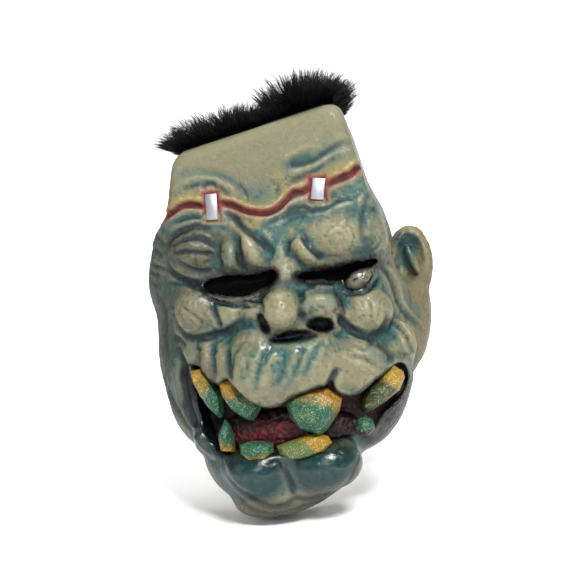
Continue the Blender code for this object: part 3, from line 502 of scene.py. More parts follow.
# Creases and ridges drawn over the sculpt: height in mm, half width in mm, points (x, z)
STROKES = [
    # forehead
    (-1.1, 1.8, [(7, 83), (15, 82), (22, 82), (31, 84), (36, 87), (44, 91), (51, 94), (60, 94)]),
    (-0.9, 3.0, [(12, 84), (20, 85.5), (30, 88)]),
    (0.8, 2.4, [(8, 87.5), (17, 91), (28, 94), (38, 94)]),
    (0.7, 2.2, [(12, 78), (24, 79), (34, 81), (44, 85)]),
    (-0.9, 1.4, [(11, 72), (18, 72.5), (27, 76), (33, 78), (40, 82), (50, 86)]),
    (0.6, 2.0, [(-66, 78), (-50, 81), (-36, 76), (-24, 66)]),
    (-0.8, 1.8, [(-67, 71), (-58, 75), (-46, 76), (-36, 71), (-26, 64)]),
    (-0.8, 1.1, [(-51, 73), (-44, 76), (-38, 76)]),
    (-0.6, 2.6, [(-56, 84), (-40, 81), (-27, 75), (-18, 66), (-11, 61), (-3, 61)]),
    (-0.5, 1.6, [(-2, 75), (4, 70), (4, 62)]),
    # between the scar and the brows
    (-1.3, 1.5, SCAR_FOLD),
    (-1.1, 1.4, [(-6, 42), (4, 47), (14, 49), (23, 49), (30, 46.5)]),
    (0.8, 1.8, [(4, 50), (12, 55), (22, 56.5)]),
    (-1.0, 1.6, [(6, 41), (14, 45.5), (24, 46)]),
    (-1.7, 1.9, BROW_CREASE),
    (-0.9, 1.3, [(-30, 52), (-22, 49), (-14, 45)]),
    (-1.0, 1.5, [(68, 60), (62, 45), (60, 30), (61, 22)]),
    (-1.3, 1.8, [(-77, 50), (-66, 52.5), (-54, 53), (-42, 50), (-34, 47)]),
    (-0.9, 1.4, [(-62, 48), (-50, 49), (-38, 44), (-28, 41)]),
    # left eyelid pad and crow's feet
    (-1.6, 1.4, LID_FOLD_TOP),
    (-1.7, 1.2, LID_FOLD_LOW),
    (0.9, 1.8, [(-70, 32), (-60, 33.5), (-50, 31.5)]),
    (-1.3, 1.3, [(-72, 25), (-66, 20), (-59, 15.5), (-51, 14), (-43, 16)]),
    (-1.8, 1.8, LID_CREASE),
    (0.9, 1.8, [(-79, 24), (-73, 17), (-62, 11.5), (-52, 9)]),
    (-1.5, 1.6, [(-81, 25), (-76, 16), (-66, 9), (-54, 6)]),
    (-1.2, 1.3, [(-103, 21), (-95, 17), (-88, 15.5)]),
    (-1.2, 1.4, [(-101, 25), (-86, 20), (-75, 12), (-62, 6)]),
    (-1.0, 1.2, [(-88, 7), (-80, 8), (-72, 7), (-64, 5), (-53, 1)]),
    (-0.9, 1.4, [(-99, 36), (-90, 33), (-83, 27)]),
    (-0.9, 1.6, [(-92, 44), (-85, 40), (-81, 33)]),
    # inner brows
    (-1.3, 1.5, BROW_GROOVE_LEFT),
    (-1.1, 1.2, [(-38, 33), (-40, 24), (-37, 15)]),
    (0.9, 1.6, [(-37, 11.5), (-29, 9.5), (-20, 8.5), (-8, 9)]),
    (-1.8, 1.4, BROW_GROOVE_RIGHT),
    (0.9, 2.0, [(2, 20), (5, 30), (13, 37), (24, 41)]),
    (-1.2, 1.3, [(8, 18), (10, 28), (17, 34)]),
    (1.0, 1.8, [(30, 10.5), (42, 10.5), (52, 11.5), (64, 15)]),
    # eyes
    (1.5, 1.5, [(-52, -1), (-43, -4), (-32, -6.5), (-21, -7), (-11, -5)]),
    (-1.4, 1.2, [(-52, -4), (-43, -8), (-32, -11), (-21, -12.5), (-12, -11)]),
    (-1.0, 1.3, [(-46, -9.5), (-38, -9), (-28, -12)]),
    (1.2, 1.2, [(44, -4), (48, 0), (53, 4), (60, 6.5), (64, 3), (62, -3), (56, -6), (48, -5), (44, -3)]),
    (-1.6, 1.5, [(49, -2), (54, 0.5), (59, 2.5)]),
    (-1.4, 1.3, [(40, -8), (48, -10), (57, -10), (65, -5), (69, 2)]),
    (-1.2, 1.2, [(17, -2), (25, 0), (34, -1), (40, -4)]),
    (-1.1, 1.2, [(15, -6), (22, -3), (27, -3)]),
    # nose
    (-1.6, 1.4, [(15, -3), (18, -9), (16.5, -18), (18, -26)]),
    (-1.5, 1.4, NOSE_GROOVE),
    (-1.3, 1.3, [(-22, -9), (-14, -8), (-9, -13), (-9.5, -20)]),
    (2.4, 2.6, [(15, -21), (19, -15), (27, -12), (35, -13), (41, -19), (42, -28)]),
    # left cheeks
    (-2.0, 1.7, [(-47, -6), (-46.5, -13), (-44, -20), (-42, -27)]),
    (-1.9, 1.8, [(-78, -20), (-70, -30), (-58, -32), (-47, -30), (-36, -28), (-25, -21)]),
    (-1.2, 1.5, [(-78, -3), (-79, -14), (-75, -26)]),
    (-0.8, 1.0, [(-70, -8), (-62, -14), (-54, -22)]),
    (-1.1, 1.6, [(-94, 4), (-90, -12), (-92, -30), (-90, -46)]),
    (-1.2, 1.8, [(-99, -46), (-99, -58), (-93, -75), (-82, -90), (-74, -102), (-66, -114)]),
    (-1.8, 1.9, [(-80, -36), (-75, -50), (-78, -58), (-77, -70), (-74, -80), (-70, -96)]),
    (1.0, 2.4, [(-86, -52), (-85, -66), (-79, -80)]),
    (-1.4, 1.6, [(-84, -30), (-76, -33), (-70, -38)]),
    # right cheek
    (-1.9, 1.8, [(42, -10), (40, -20), (44, -31), (53, -38), (62, -40), (70, -34), (74, -24)]),
    (-1.2, 1.5, [(68, 12), (75, 0), (78, -10), (79, -18), (83, -27), (91, -38), (95, -47)]),
    (1.1, 1.3, [(71, 10), (78, 0), (81, -10), (82, -18), (86, -27), (94, -37)]),
    (-1.6, 2.0, [(56, -42), (66, -46), (72, -54), (74, -62)]),
    (-0.6, 0.9, [(61, -14), (62, -22), (61, -31)]),
    (-0.7, 1.2, [(84, -40), (84, -50), (90, -58)]),
    (-1.0, 1.5, [(70, -30), (78, -36), (85, -47), (88, -56)]),
    # upper lip: folds run down from the nose
    (-1.0, 1.6, [(-5, -40), (-13, -52), (-17, -66)]),
    (-0.8, 1.5, [(4, -42), (2, -55), (-4, -66)]),
    (-0.9, 1.5, [(17, -40), (12, -52), (8, -62)]),
    (-0.7, 1.6, [(28, -38), (22, -50), (13, -62)]),
    (0.6, 1.8, [(-3, -44), (-8, -56), (-12, -66)]),
    (0.6, 1.8, [(11, -42), (8, -54), (4, -62)]),
    (-0.9, 1.4, [(-24, -34), (-31, -44), (-34, -56)]),
    (-0.6, 1.2, [(-22, -46), (-21, -56), (-18, -66)]),
    (-1.4, 1.9, [(-36, -40), (-36, -52), (-35, -62)]),
    (-0.9, 1.8, [(-48, -36), (-49, -48), (-49, -60)]),
    (-0.8, 1.8, [(-60, -35), (-61, -46), (-63, -54)]),
    (-1.8, 1.8, [(31, -72), (33, -65), (38, -57)]),
    (-0.7, 1.4, [(44, -50), (54, -53), (64, -60)]),
    # lower lip and chin
    (-1.5, 1.5, LIP_CLEFT),
    (-0.9, 1.2, [(-16, -120), (-9, -117.5), (-4, -121), (2, -119)]),
    (-1.8, 1.7, [(-51, -112), (-46, -124), (-39, -133), (-31, -141), (-23, -146.5), (-14, -149), (-5, -147.5),
                 (0, -144), (8, -146.5), (17, -147), (28, -144), (36, -137), (42, -127), (46, -119), (54, -111)]),
    (-0.9, 1.4, [(-49, -128), (-40, -142), (-28, -151), (-12, -154), (4, -151), (20, -151.5), (32, -147)]),
    (0.8, 1.8, [(-44, -130), (-34, -143), (-20, -150), (-6, -151)]),
    (-1.5, 1.6, [(-72, -104), (-67, -111), (-61, -117), (-53, -120)]),
    (-1.2, 1.4, [(-52, -98), (-51, -106), (-52, -114)]),
]


SHOULDER, SHOULDER_AT = 0.22, 2.4         # the low bank beside a crease: share of its depth, half widths away
SCAR_DEPTH, SCAR_WIDTH = 2.6, 1.3
SCAR_LIP, SCAR_LIP_AT, SCAR_LIP_WIDTH = 1.2, 3.8, 1.6


def carve_strokes(surface, normals, outside):
    """Presses the creases in and lifts the ridges, over the front of the face only."""
    flat = surface.points[:, [0, 2]]
    facing = smoothstep(0.02, 0.30, -normals[:, 1]) * outside
    shift = np.zeros(len(flat))
    deep = np.zeros(len(flat))
    for height, width, points in STROKES:
        line = curve_through(points, 3.0)
        reach = 4 * width
        near = ((flat > line.min(0) - reach) & (flat < line.max(0) + reach)).all(1) & (facing > 0)
        chosen = np.flatnonzero(near)
        distance, share = line_distance(flat[chosen], line)
        ends = np.sqrt(smoothstep(0.0, 0.22, share) * smoothstep(0.0, 0.22, 1 - share))
        profile = bell(distance / width) * ends
        shoulder = bell((distance - SHOULDER_AT * width) / width) * ends
        shift[chosen] += height * profile - SHOULDER * height * shoulder
        if height < 0:
            deep[chosen] = np.maximum(deep[chosen], -height * profile)
    distance, share = line_distance(flat, curve_through(SCAR, 2.5))
    ends = smoothstep(0, 0.03, share) * smoothstep(0, 0.03, 1 - share)
    groove = SCAR_DEPTH * bell(distance / SCAR_WIDTH)
    lips = SCAR_LIP * bell((distance - SCAR_LIP_AT) / SCAR_LIP_WIDTH)
    shift += ends * (lips - groove)
    for (centre, width, height, _) in STAPLES.values():
        gap = np.maximum(abs(flat[:, 0] - centre[0]) - width / 2 - 1.2, abs(flat[:, 1] - centre[1]) - height / 2 - 1.2)
        shift *= smoothstep(0, 2.5, gap)
    return shift * facing, deep * facing, distance


PAINT_DEPTH = 0.49           # how dark the paint lies under the studio light
PAINT_STRENGTH = 1.3         # how far colours are pushed away from grey
PAINT_GAMMA = 1.2
TEAL = srgb(84, 124, 122)
DEEP_TEAL = srgb(22, 76, 80)
NAVY = srgb(10, 34, 44)
BLACK = srgb(6, 8, 10)
TAN = srgb(165, 160, 135)
CREAM = srgb(186, 182, 156)
GREY = srgb(124, 124, 110)
OLIVE_GREY = srgb(88, 90, 74)
SIDE_GREY = srgb(58, 68, 60)
RED = srgb(150, 22, 26)
WINE = srgb(84, 2, 8)
PINK = srgb(190, 122, 112)
YELLOW = srgb(188, 172, 112)
MAROON = srgb(62, 4, 10)
FLESH = srgb(128, 18, 26)
LIP = srgb(8, 54, 58)
SKIN_TONE = srgb(146, 145, 126)
SKIN_TONE_COOL = srgb(134, 138, 124)
EAR_TAN = srgb(150, 138, 108)
BARE_LATEX = srgb(198, 186, 158)
BARE_LATEX_DARK = srgb(170, 150, 118)
MOUTH_EDGE = srgb(20, 26, 30)
SHADE = srgb(44, 52, 44)

# Patches over the front, painted in order: colour, strength, centre (x, z), half sizes, tilt
PATCHES = [
    (TAN, 0.7, (-10, 104), (75, 26), 12),
    (TEAL, 0.35, (28, 86), (24, 7), 14),
    (DEEP_TEAL, 0.4, (22, 84), (12, 3), 8),
    (TEAL, 0.25, (54, 84), (14, 9), 20),
    (TEAL, 0.4, (-50, 82), (20, 5), -10),
    (TEAL, 0.35, (-8, 64), (14, 6), 0),
    (YELLOW, 0.35, (5, 70), (6, 14), 0),
    (YELLOW, 0.45, (-61, 66), (13, 4), 0),
    (YELLOW, 0.5, (49, 76), (11, 5), 15),
    (YELLOW, 0.45, (-10, 45), (12, 5), 10),
    (TEAL, 0.8, (60, 52), (13, 18), 0),
    (TEAL, 0.8, (24, 46), (26, 7), 10),
    (DEEP_TEAL, 0.85, (62, 19), (12, 10), 0),
    (TEAL, 0.8, (-62, 47), (28, 9), 0),
    (DEEP_TEAL, 0.45, (-54, 50), (18, 3.5), -6),
    (TEAL, 0.9, (-3, 32), (10, 19), -20),
    # painted shade: the left eyelid pad darker, where the light falls off on the left
    (OLIVE_GREY, 0.9, (-58, 30), (23, 14), -4),
    (TAN, 0.35, (-58, 21), (12, 4.5), -8),
    (TEAL, 0.6, (-42, 22), (6, 8), 0),
    (TEAL, 0.55, (-31, 22), (8, 11), 5),
    (TAN, 0.85, (-16, 27), (6.5, 14), 26),
    (TAN, 0.85, (41, 31), (18, 12), -5),
    (TAN, 0.7, (20, 22), (5.5, 10), 38),
    (TEAL, 0.5, (5, 27), (4, 12), -20),
    (DEEP_TEAL, 0.75, (34, 5.5), (34, 5.5), 6),
    (NAVY, 1.0, (-30, 4), (33, 11), 0),
    (NAVY, 1.0, (-31, -5), (26, 5), -8),
    (NAVY, 1.0, (43, 5), (29, 7.5), 7),
    (NAVY, 0.95, (54, -1), (13, 8), 26),
    (TEAL, 0.55, (24, -3), (14, 7), 8),
    (TEAL, 0.6, (-90, 14), (17, 28), 0),
    (GREY, 0.35, (-92, -20), (14, 44), 0),
    (TEAL, 0.7, (-88, -60), (11, 36), -8),
    (TAN, 0.85, (3, -15), (11, 11), 0),
    (TAN, 0.7, (-62, -10), (13, 13), -20),
    (TAN, 0.65, (-34, -15), (9, 6), 24),
    (TAN, 0.85, (56, -22), (13, 12), 0),
    (TEAL, 0.7, (40, -10), (9, 8), 20),
    (TEAL, 0.55, (22, -14), (7, 6), 20),
    (TEAL, 0.6, (-44, -26), (18, 4.5), 14),
    (TEAL, 0.6, (-22, -26), (8, 7), 10),
    (TEAL, 0.55, (-45, -8), (4, 10), -5),
    # painted shadow under the nose's bulb, and painted shade in the nostrils and the left nostril's crease
    (NAVY, 0.85, (14, -34), (20, 4.5), 4),
    (BLACK, 1.0, (28, -29.5), (10, 5), -8),
    (BLACK, 1.0, (7, -35), (15, 3.6), 3),
    (BLACK, 1.0, (-11, -25), (3.4, 8), 28),
    (TEAL, 0.6, (4, -46), (30, 11), 5),
    (TAN, 0.95, (44, -58), (22, 12), -8),
    (TAN, 0.7, (-20, -62), (12, 16), 0),
    (TAN, 0.55, (22, -64), (13, 7), 8),
    (TEAL, 0.5, (64, -50), (9, 8), 30),
    (DEEP_TEAL, 0.6, (74, -58), (9, 5), 20),
    (TAN, 0.55, (77, -46), (8, 9), 10),
    (DEEP_TEAL, 0.5, (42, -77), (15, 4), 12),
    (TEAL, 0.6, (70, -78), (12, 26), -20),
    (DEEP_TEAL, 0.7, (-44, -122), (10, 16), -30),
    (TEAL, 0.55, (-52, -140), (12, 16), -40),
    (TEAL, 0.4, (-10, -157), (42, 5), 3),
    (TEAL, 0.45, (-68, -46), (6, 10), 10),
    (GREY, 0.3, (-48, -46), (12, 14), 0),
    (LIP, 1.0, (-26, -120), (25, 17), 0),
    (LIP, 1.0, (21, -119), (25, 15), 5),
    (DEEP_TEAL, 0.95, (-27, -131), (21, 13), -5),
    (DEEP_TEAL, 0.9, (22, -129), (22, 13), 5),
    (GREY, 0.6, (-20, -146), (24, 4), -8),
    (GREY, 0.6, (27, -141), (17, 5), 22),
    (TAN, 0.35, (-6, -155), (44, 7), 3),
    (NAVY, 0.9, (-62, -100), (12, 17), 10),
    (NAVY, 1.0, (-72, -80), (9, 27), 6),
    (NAVY, 0.9, (64, -98), (22, 10), 50),
    (DEEP_TEAL, 0.6, (50, -116), (14, 7), 35),
    (DEEP_TEAL, 0.55, (-58, -118), (13, 6), -25),
]
# the ear's teal, deepest in the concha, where it also stands as painted shade
EAR_PATCHES = [
    (DEEP_TEAL, 0.9, (89, 25), (10, 8), -20),
    (TEAL, 0.75, (87, 12), (7, 9), 0),
    (TEAL, 0.5, (89, -30), (6, 9), 0),
]
# Glossy spots: centre (x, z), half sizes
GLOSSY = [((-20, -120), (32, 20)), ((22, -120), (30, 18)), ((-30, -2), (30, 10)), ((52, 0), (18, 10)),
          ((3, -15), (13, 13)), ((-8, -55), (34, 22)), ((-62, -104), (14, 16))]
# Painted shade laid last, where the light falls off: the left side, the left eyelid pad and brow, by the right brow
# and under the chin, with navy and deep teal deepening the mouth's corners: colour, strength, centre (x, z), half
# sizes, tilt
SHADES = [
    (SHADE, 0.45, (-61, 31), (26, 17), -4),
    (SHADE, 0.25, (-31, 24), (13, 18), 4),
    (SHADE, 0.18, (-72, -14), (26, 34), -8),
    (SHADE, 0.25, (-60, -70), (24, 26), 0),
    (SHADE, 0.25, (-16, -155), (46, 10), 4),
    (SHADE, 0.15, (64, 44), (14, 16), 0),
    (NAVY, 0.75, (70, -86), (24, 13), 52),
    (NAVY, 0.6, (-70, -84), (12, 28), 6),
    (DEEP_TEAL, 0.5, (-60, -112), (16, 12), -30),
]
# Painted lines: colour, strength, half width, points (x, z)
LINES = [
    (TEAL, 0.75, 1.8, [(-14, -42), (-22, -52), (-27, -64)]),
    (TEAL, 0.8, 1.8, [(-5, -40), (-13, -52), (-17, -66), (-18, -72)]),
    (TEAL, 0.85, 2.2, [(4, -38), (2, -50), (-2, -62), (-4, -70)]),
    (TEAL, 0.85, 2.4, [(16, -38), (12, -50), (7, -60), (3, -66)]),
    (TEAL, 0.8, 2.4, [(28, -38), (22, -50), (13, -62)]),
    (TEAL, 0.6, 2.0, [(-30, -36), (-34, -46), (-35, -58)]),
    (CREAM, 0.7, 1.3, [(-2, -45), (-4, -52)]),
    (CREAM, 0.7, 1.3, [(-11, -58), (-13, -66)]),
    (CREAM, 0.6, 1.2, [(14, -46), (10, -53)]),
    (CREAM, 0.6, 1.2, [(-23, -44), (-26, -54)]),
    (NAVY, 0.8, 1.6, LID_CREASE),
    (NAVY, 0.7, 1.3, BROW_CREASE),
    (NAVY, 0.75, 1.5, [(-78, -21), (-70, -30), (-58, -32), (-47, -30), (-36, -28), (-25, -21)]),
    (NAVY, 0.8, 1.8, [(42, -10), (40, -20), (44, -31), (53, -38), (62, -40), (70, -34)]),
    (NAVY, 0.7, 1.4, NOSE_GROOVE),
    (DEEP_TEAL, 0.5, 2.0, [(-36, -42), (-36, -52), (-35, -62)]),
    (NAVY, 0.75, 1.8, [(31, -72), (33, -65), (37, -59)]),
    (NAVY, 0.75, 2.4, [(-80, -36), (-75, -50), (-78, -58), (-77, -70), (-74, -80)]),
    (NAVY, 0.85, 1.5, LIP_CLEFT),
    (DEEP_TEAL, 0.7, 1.5, SCAR_FOLD),
    (DEEP_TEAL, 0.7, 1.5, [(-6, 42), (4, 47), (14, 49), (23, 49)]),
    (DEEP_TEAL, 0.7, 1.7, BROW_GROOVE_LEFT),
    (DEEP_TEAL, 0.75, 1.8, BROW_GROOVE_RIGHT),
    (DEEP_TEAL, 0.6, 1.6, [(11, 72), (18, 72.5), (27, 76), (33, 78), (40, 82)]),
    (DEEP_TEAL, 0.6, 1.5, LID_FOLD_TOP),
    (NAVY, 0.75, 1.2, LID_FOLD_LOW),
]


def outline_share(x, z, centre, half, tilt):
    ct, st = math.cos(math.radians(tilt)), math.sin(math.radians(tilt))
    dx, dz = x - centre[0], z - centre[1]
    return np.sqrt(((dx * ct + dz * st) / half[0]) ** 2 + ((dz * ct - dx * st) / half[1]) ** 2)


def paint_skin(surface, normals, outside, deep, scar_distance):
    """Vertex colours and a gloss mask."""
    points = surface.points
    x, y, z = points.T
    flat = points[:, [0, 2]]
    patchy, fine = ValueNoise(3), ValueNoise(4)
    mottle = (0.5 * patchy.at(points, 17) + 0.3 * patchy.at(points + 40, 8) + 0.2 * fine.at(points, 4))
    speck = 0.6 * fine.at(points + 9, 2.6) + 0.4 * fine.at(points + 31, 1.6)

    colour = np.tile(np.array(SKIN_TONE), (len(points), 1))

    def lay(paint, amount):
        nonlocal colour
        amount = np.clip(amount, 0, 1)[:, None]
        colour = colour * (1 - amount) + np.array(paint) * amount

    lay(SKIN_TONE_COOL, 0.55 * smoothstep(-0.2, 0.7, mottle))
    lay(TEAL, 0.30 * smoothstep(0.1, 0.9, -mottle) * smoothstep(95, 78, z))

    relief = {}
    for name, rounds in (("fine", 3), ("middle", 14), ("wide", 60)):
        smooth = surface.smoothed(points, rounds)
        relief[name] = ((smooth - points) * normals).sum(1)
    dent, valley = relief["middle"], relief["wide"]

    face = smoothstep(-0.15, 0.35, -normals[:, 1]) * outside

    def lay_patches(dark):
        """The dark patches, the painted shadow under the nose among them, go on after the teal and the painted shade
        in the hollows, the others before.
        """
        for paint, strength, centre, half, tilt in PATCHES:
            if (paint in (NAVY, BLACK)) == dark:
                share = outline_share(x, z, centre, half, tilt) + 0.18 * mottle + 0.08 * speck
                lay(paint, strength * face * smoothstep(1.3, 0.65, share))

    lay_patches(False)
    # the mask's airbrushed teal in the hollows, with deep teal in the narrower hollows as painted shade
    lay(TEAL, 0.9 * smoothstep(0.0, 1.0, valley + 0.4 * mottle) * outside * smoothstep(106, 88, z))
    lay(DEEP_TEAL, 0.85 * smoothstep(0.18, 0.75, dent + 0.12 * mottle) * outside)
    lay_patches(True)
    for paint, strength, width, line_points in LINES:
        distance, share = line_distance(flat, curve_through(line_points, 3.0))
        ends = smoothstep(0, 0.2, share) * smoothstep(0, 0.2, 1 - share)
        lay(paint, strength * face * ends * bell((distance + 0.5 * speck) / width))
    # navy in the creases' bottoms and in the fine creases: the dark wash there, deepened as painted shade
    lay(NAVY, 0.55 * smoothstep(0.3, 1.6, deep) * outside)
    lay(NAVY, 0.5 * smoothstep(0.12, 0.45, relief["fine"]) * outside)
    # lighter cream on the ridges: the mask's dry-brushed paint, which also stands as painted highlight on the high
    # spots, less on the lower lip
    lower_lip = smoothstep(-108, -114, z) * smoothstep(-150, -140, z)
    ridge = smoothstep(0.05, 0.5, -dent) * (1 - 0.8 * lower_lip)
    lay(CREAM, 0.5 * ridge * face)
    # painted shade from SHADES, laid over everything painted before
    for paint, strength, centre, half, tilt in SHADES:
        share = outline_share(x, z, centre, half, tilt) + 0.15 * mottle
        lay(paint, strength * outside * smoothstep(-0.35, 0.2, -normals[:, 1]) * smoothstep(1.3, 0.6, share))

    # the mouth's inside and its edges
    mouth = outline_distance(x, z, smooth_outline(MOUTH))
    depth = smoothstep(-2.5, 0.5, -np.hypot(x - MOUTH_AXIS[0], y - MOUTH_AXIS[1]) + MOUTH_RADIUS + 3.0)
    inside_mouth = smoothstep(1.5, -1.5, mouth) * outside * (y < FRONT_Y)
    lay(MOUTH_EDGE, 0.75 * smoothstep(3.5, 0.5, mouth) * (y < FRONT_Y) * outside * smoothstep(-60, -66, z))
    lay(MAROON, np.clip(1.3 * inside_mouth * depth, 0, 1))
    lay(FLESH, 0.7 * inside_mouth * depth * smoothstep(0.1, 0.8, speck))
    left_corner = (x < -48) * (z < -60)
    lay(NAVY, 0.9 * smoothstep(6, 1.5, mouth + 0.8 * speck) * left_corner * (y < FRONT_Y) * outside)

    # painted shade: the left side darker where the light falls off, and the chin darker towards its lower edge
    lay(SIDE_GREY, 0.75 * outside * smoothstep(-70, -98, x + 5 * mottle))
    lay(OLIVE_GREY, 0.7 * outside * smoothstep(-141, -152, z + 2 * mottle))

    # the scar
    along = curve_through(SCAR, 2.0)
    wander = scar_distance + 0.8 * fine.at(points, 5) + 0.4 * speck
    lay(YELLOW, 0.30 * face * smoothstep(13, 7, wander) * (z > np.interp(x, along[:, 0], along[:, 1])))
    lay(PINK, 0.22 * face * smoothstep(6.5, 2.5, wander + 1.6 * mottle))
    lay(RED, 0.9 * face * smoothstep(3.4, 1.3, wander + 1.1 * mottle))
    lay(WINE, face * smoothstep(1.9, 0.7, wander + 0.5 * mottle))
    for (centre, width, height, tilt) in STAPLES.values():
        share = np.maximum(abs(x - centre[0]) - width / 2, abs(z - centre[1]) - height / 2) + 0.5 * speck
        share = share + 2.6 * mottle
        lay(PINK, 0.3 * face * smoothstep(5.5, 2.0, share))
        lay(RED, 0.8 * face * smoothstep(3.0, 0.8, share))
        lay(WINE, 0.8 * face * smoothstep(1.2, 0.0, share))

    # the ear
    ear = smoothstep(72, 80, x) * smoothstep(-30, -12, y) * outside
    lay(EAR_TAN, 0.6 * ear)
    for paint, strength, centre, half, tilt in EAR_PATCHES:
        lay(paint, strength * ear * smoothstep(1.3, 0.7, outline_share(x, z, centre, half, tilt)))

    # bare latex inside the mask
    lay(BARE_LATEX, 1 - outside)
    lay(BARE_LATEX_DARK, (1 - outside) * 0.4 * smoothstep(0, 0.8, mottle))

    # black round the eye slits: painted shade in the sockets under the brows, over the lids' own dark paint; a
    # narrower band on the inside
    for eye in (EYE_LEFT, EYE_RIGHT):
        edge = outline_distance(x, z, smooth_outline(eye)) + 0.8 * speck
        lay(BLACK, (y < FRONT_Y) * np.where(outside > 0.5, smoothstep(5.0, 1.2, edge), smoothstep(2.5, 1.0, edge)))

    below_crown = smoothstep(96, 84, z)
    gloss = 0.3 + 0.5 * smoothstep(0.05, 0.6, -dent) * face * below_crown
    for centre, half in GLOSSY:
        gloss = np.maximum(gloss, 0.95 * face * smoothstep(1.3, 0.8, outline_share(x, z, centre, half, 0)))
    gloss = gloss * (1 - 0.8 * face * smoothstep(4.0, 2.0, scar_distance)) * (1 - 0.6 * smoothstep(-70, -90, x))
    gloss = gloss * outside * (1 - 0.9 * np.clip(inside_mouth * depth, 0, 1)) + 0.1 * (1 - outside)
    grey = colour.mean(1, keepdims=True)
    strong = (grey * (1 - PAINT_STRENGTH) + colour * PAINT_STRENGTH).clip(0, 1)
    return strong ** PAINT_GAMMA * PAINT_DEPTH, np.clip(gloss, 0, 1)


def mesh_object(name, points, faces, smooth=True):
    """A new object from coordinates in millimetres."""
    mesh = bpy.data.meshes.new(name)
    points = np.asarray(points, float) * MM
    if isinstance(faces, np.ndarray):
        mesh.vertices.add(len(points))
        mesh.vertices.foreach_set("co", points.ravel().astype(np.float32))
        size = faces.shape[1]
        mesh.loops.add(faces.size)
        mesh.loops.foreach_set("vertex_index", faces.ravel().astype(np.int32))
        mesh.polygons.add(len(faces))
        mesh.polygons.foreach_set("loop_start", (np.arange(len(faces)) * size).astype(np.int32))
        mesh.update(calc_edges=True)
    else:
        mesh.from_pydata([tuple(p) for p in points], [], faces)
        mesh.update()
    if smooth:
        mesh.shade_smooth()
    obj = bpy.data.objects.new(name, mesh)
    bpy.context.scene.collection.objects.link(obj)
    return obj


def bmesh_object(name, bm, smooth=True):
    """The same from a bmesh, and its coordinates."""
    bm.verts.index_update()
    points = np.array([v.co for v in bm.verts])
    faces = [[v.index for v in f.verts] for f in bm.faces]
    bm.free()
    return mesh_object(name, points, faces, smooth), points


def dress(piece, node_name, look, body="mask"):
    """Gives a piece its look and its body, and hides the CAD node that it stands for."""
    piece.data.materials.append(look)
    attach(piece, body)
    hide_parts(node_name)


def set_colour(obj, colour, name="paint"):
    attribute = obj.data.color_attributes.new(name, "FLOAT_COLOR", "POINT")
    values = np.ones((len(colour), 4), np.float32)
    values[:, :3] = colour if np.ndim(colour) == 2 else np.repeat(np.asarray(colour)[:, None], 3, 1)
    attribute.data.foreach_set("color", values.ravel())


# --- Materials ---

class Nodes:
    """A short way to write a node material."""

    def __init__(self, name):
        self.material = bpy.data.materials.new(name)
        self.material.use_nodes = True
        self.tree = self.material.node_tree
        self.shader = self.tree.nodes["Principled BSDF"]

    def add(self, kind, inputs=None, **settings):
        node = self.tree.nodes.new(kind)
        for key, value in settings.items():
            setattr(node, key, value)
        for key, value in (inputs or {}).items():
            if isinstance(value, bpy.types.NodeSocket):
                self.tree.links.new(value, node.inputs[key])
            else:
                node.inputs[key].default_value = value
        return node

    def set(self, **values):
        for key, value in values.items():
            socket = self.shader.inputs[key.replace("_", " ")]
            if isinstance(value, bpy.types.NodeSocket):
                self.tree.links.new(value, socket)
            else:
                socket.default_value = value

    def coords(self):
        return self.add("ShaderNodeTexCoord").outputs["Object"]

    def noise(self, scale, detail=3.0, roughness=0.5, vector=None):
        return self.add("ShaderNodeTexNoise", {"Vector": vector or self.coords(), "Scale": scale, "Detail": detail,
                                               "Roughness": roughness}).outputs["Fac"]

    def voronoi(self, scale, output="Distance", vector=None):
        return self.add("ShaderNodeTexVoronoi", {"Vector": vector or self.coords(), "Scale": scale}).outputs[output]

    def range(self, value, low, high, to_low, to_high):
        return self.add("ShaderNodeMapRange", {"Value": value, "From Min": low, "From Max": high,
                                               "To Min": to_low, "To Max": to_high}).outputs["Result"]

    def math(self, operation, a, b):
        return self.add("ShaderNodeMath", {0: a, 1: b}, operation=operation).outputs[0]

    def mix(self, factor, a, b, blend="MIX"):
        node = self.add("ShaderNodeMix", data_type="RGBA", blend_type=blend)
        for index, value in ((0, factor), (6, a), (7, b)):
            if isinstance(value, bpy.types.NodeSocket):
                self.tree.links.new(value, node.inputs[index])
            else:
                node.inputs[index].default_value = value if index == 0 else (*value, 1.0)
        return node.outputs[2]

    def attribute(self, name, output="Color"):
        return self.add("ShaderNodeAttribute", attribute_name=name).outputs[output]

    def bump(self, height, strength, distance, normal=None):
        inputs = {"Height": height, "Strength": strength, "Distance": distance}
        if normal is not None:
            inputs["Normal"] = normal
        return self.add("ShaderNodeBump", inputs).outputs["Normal"]


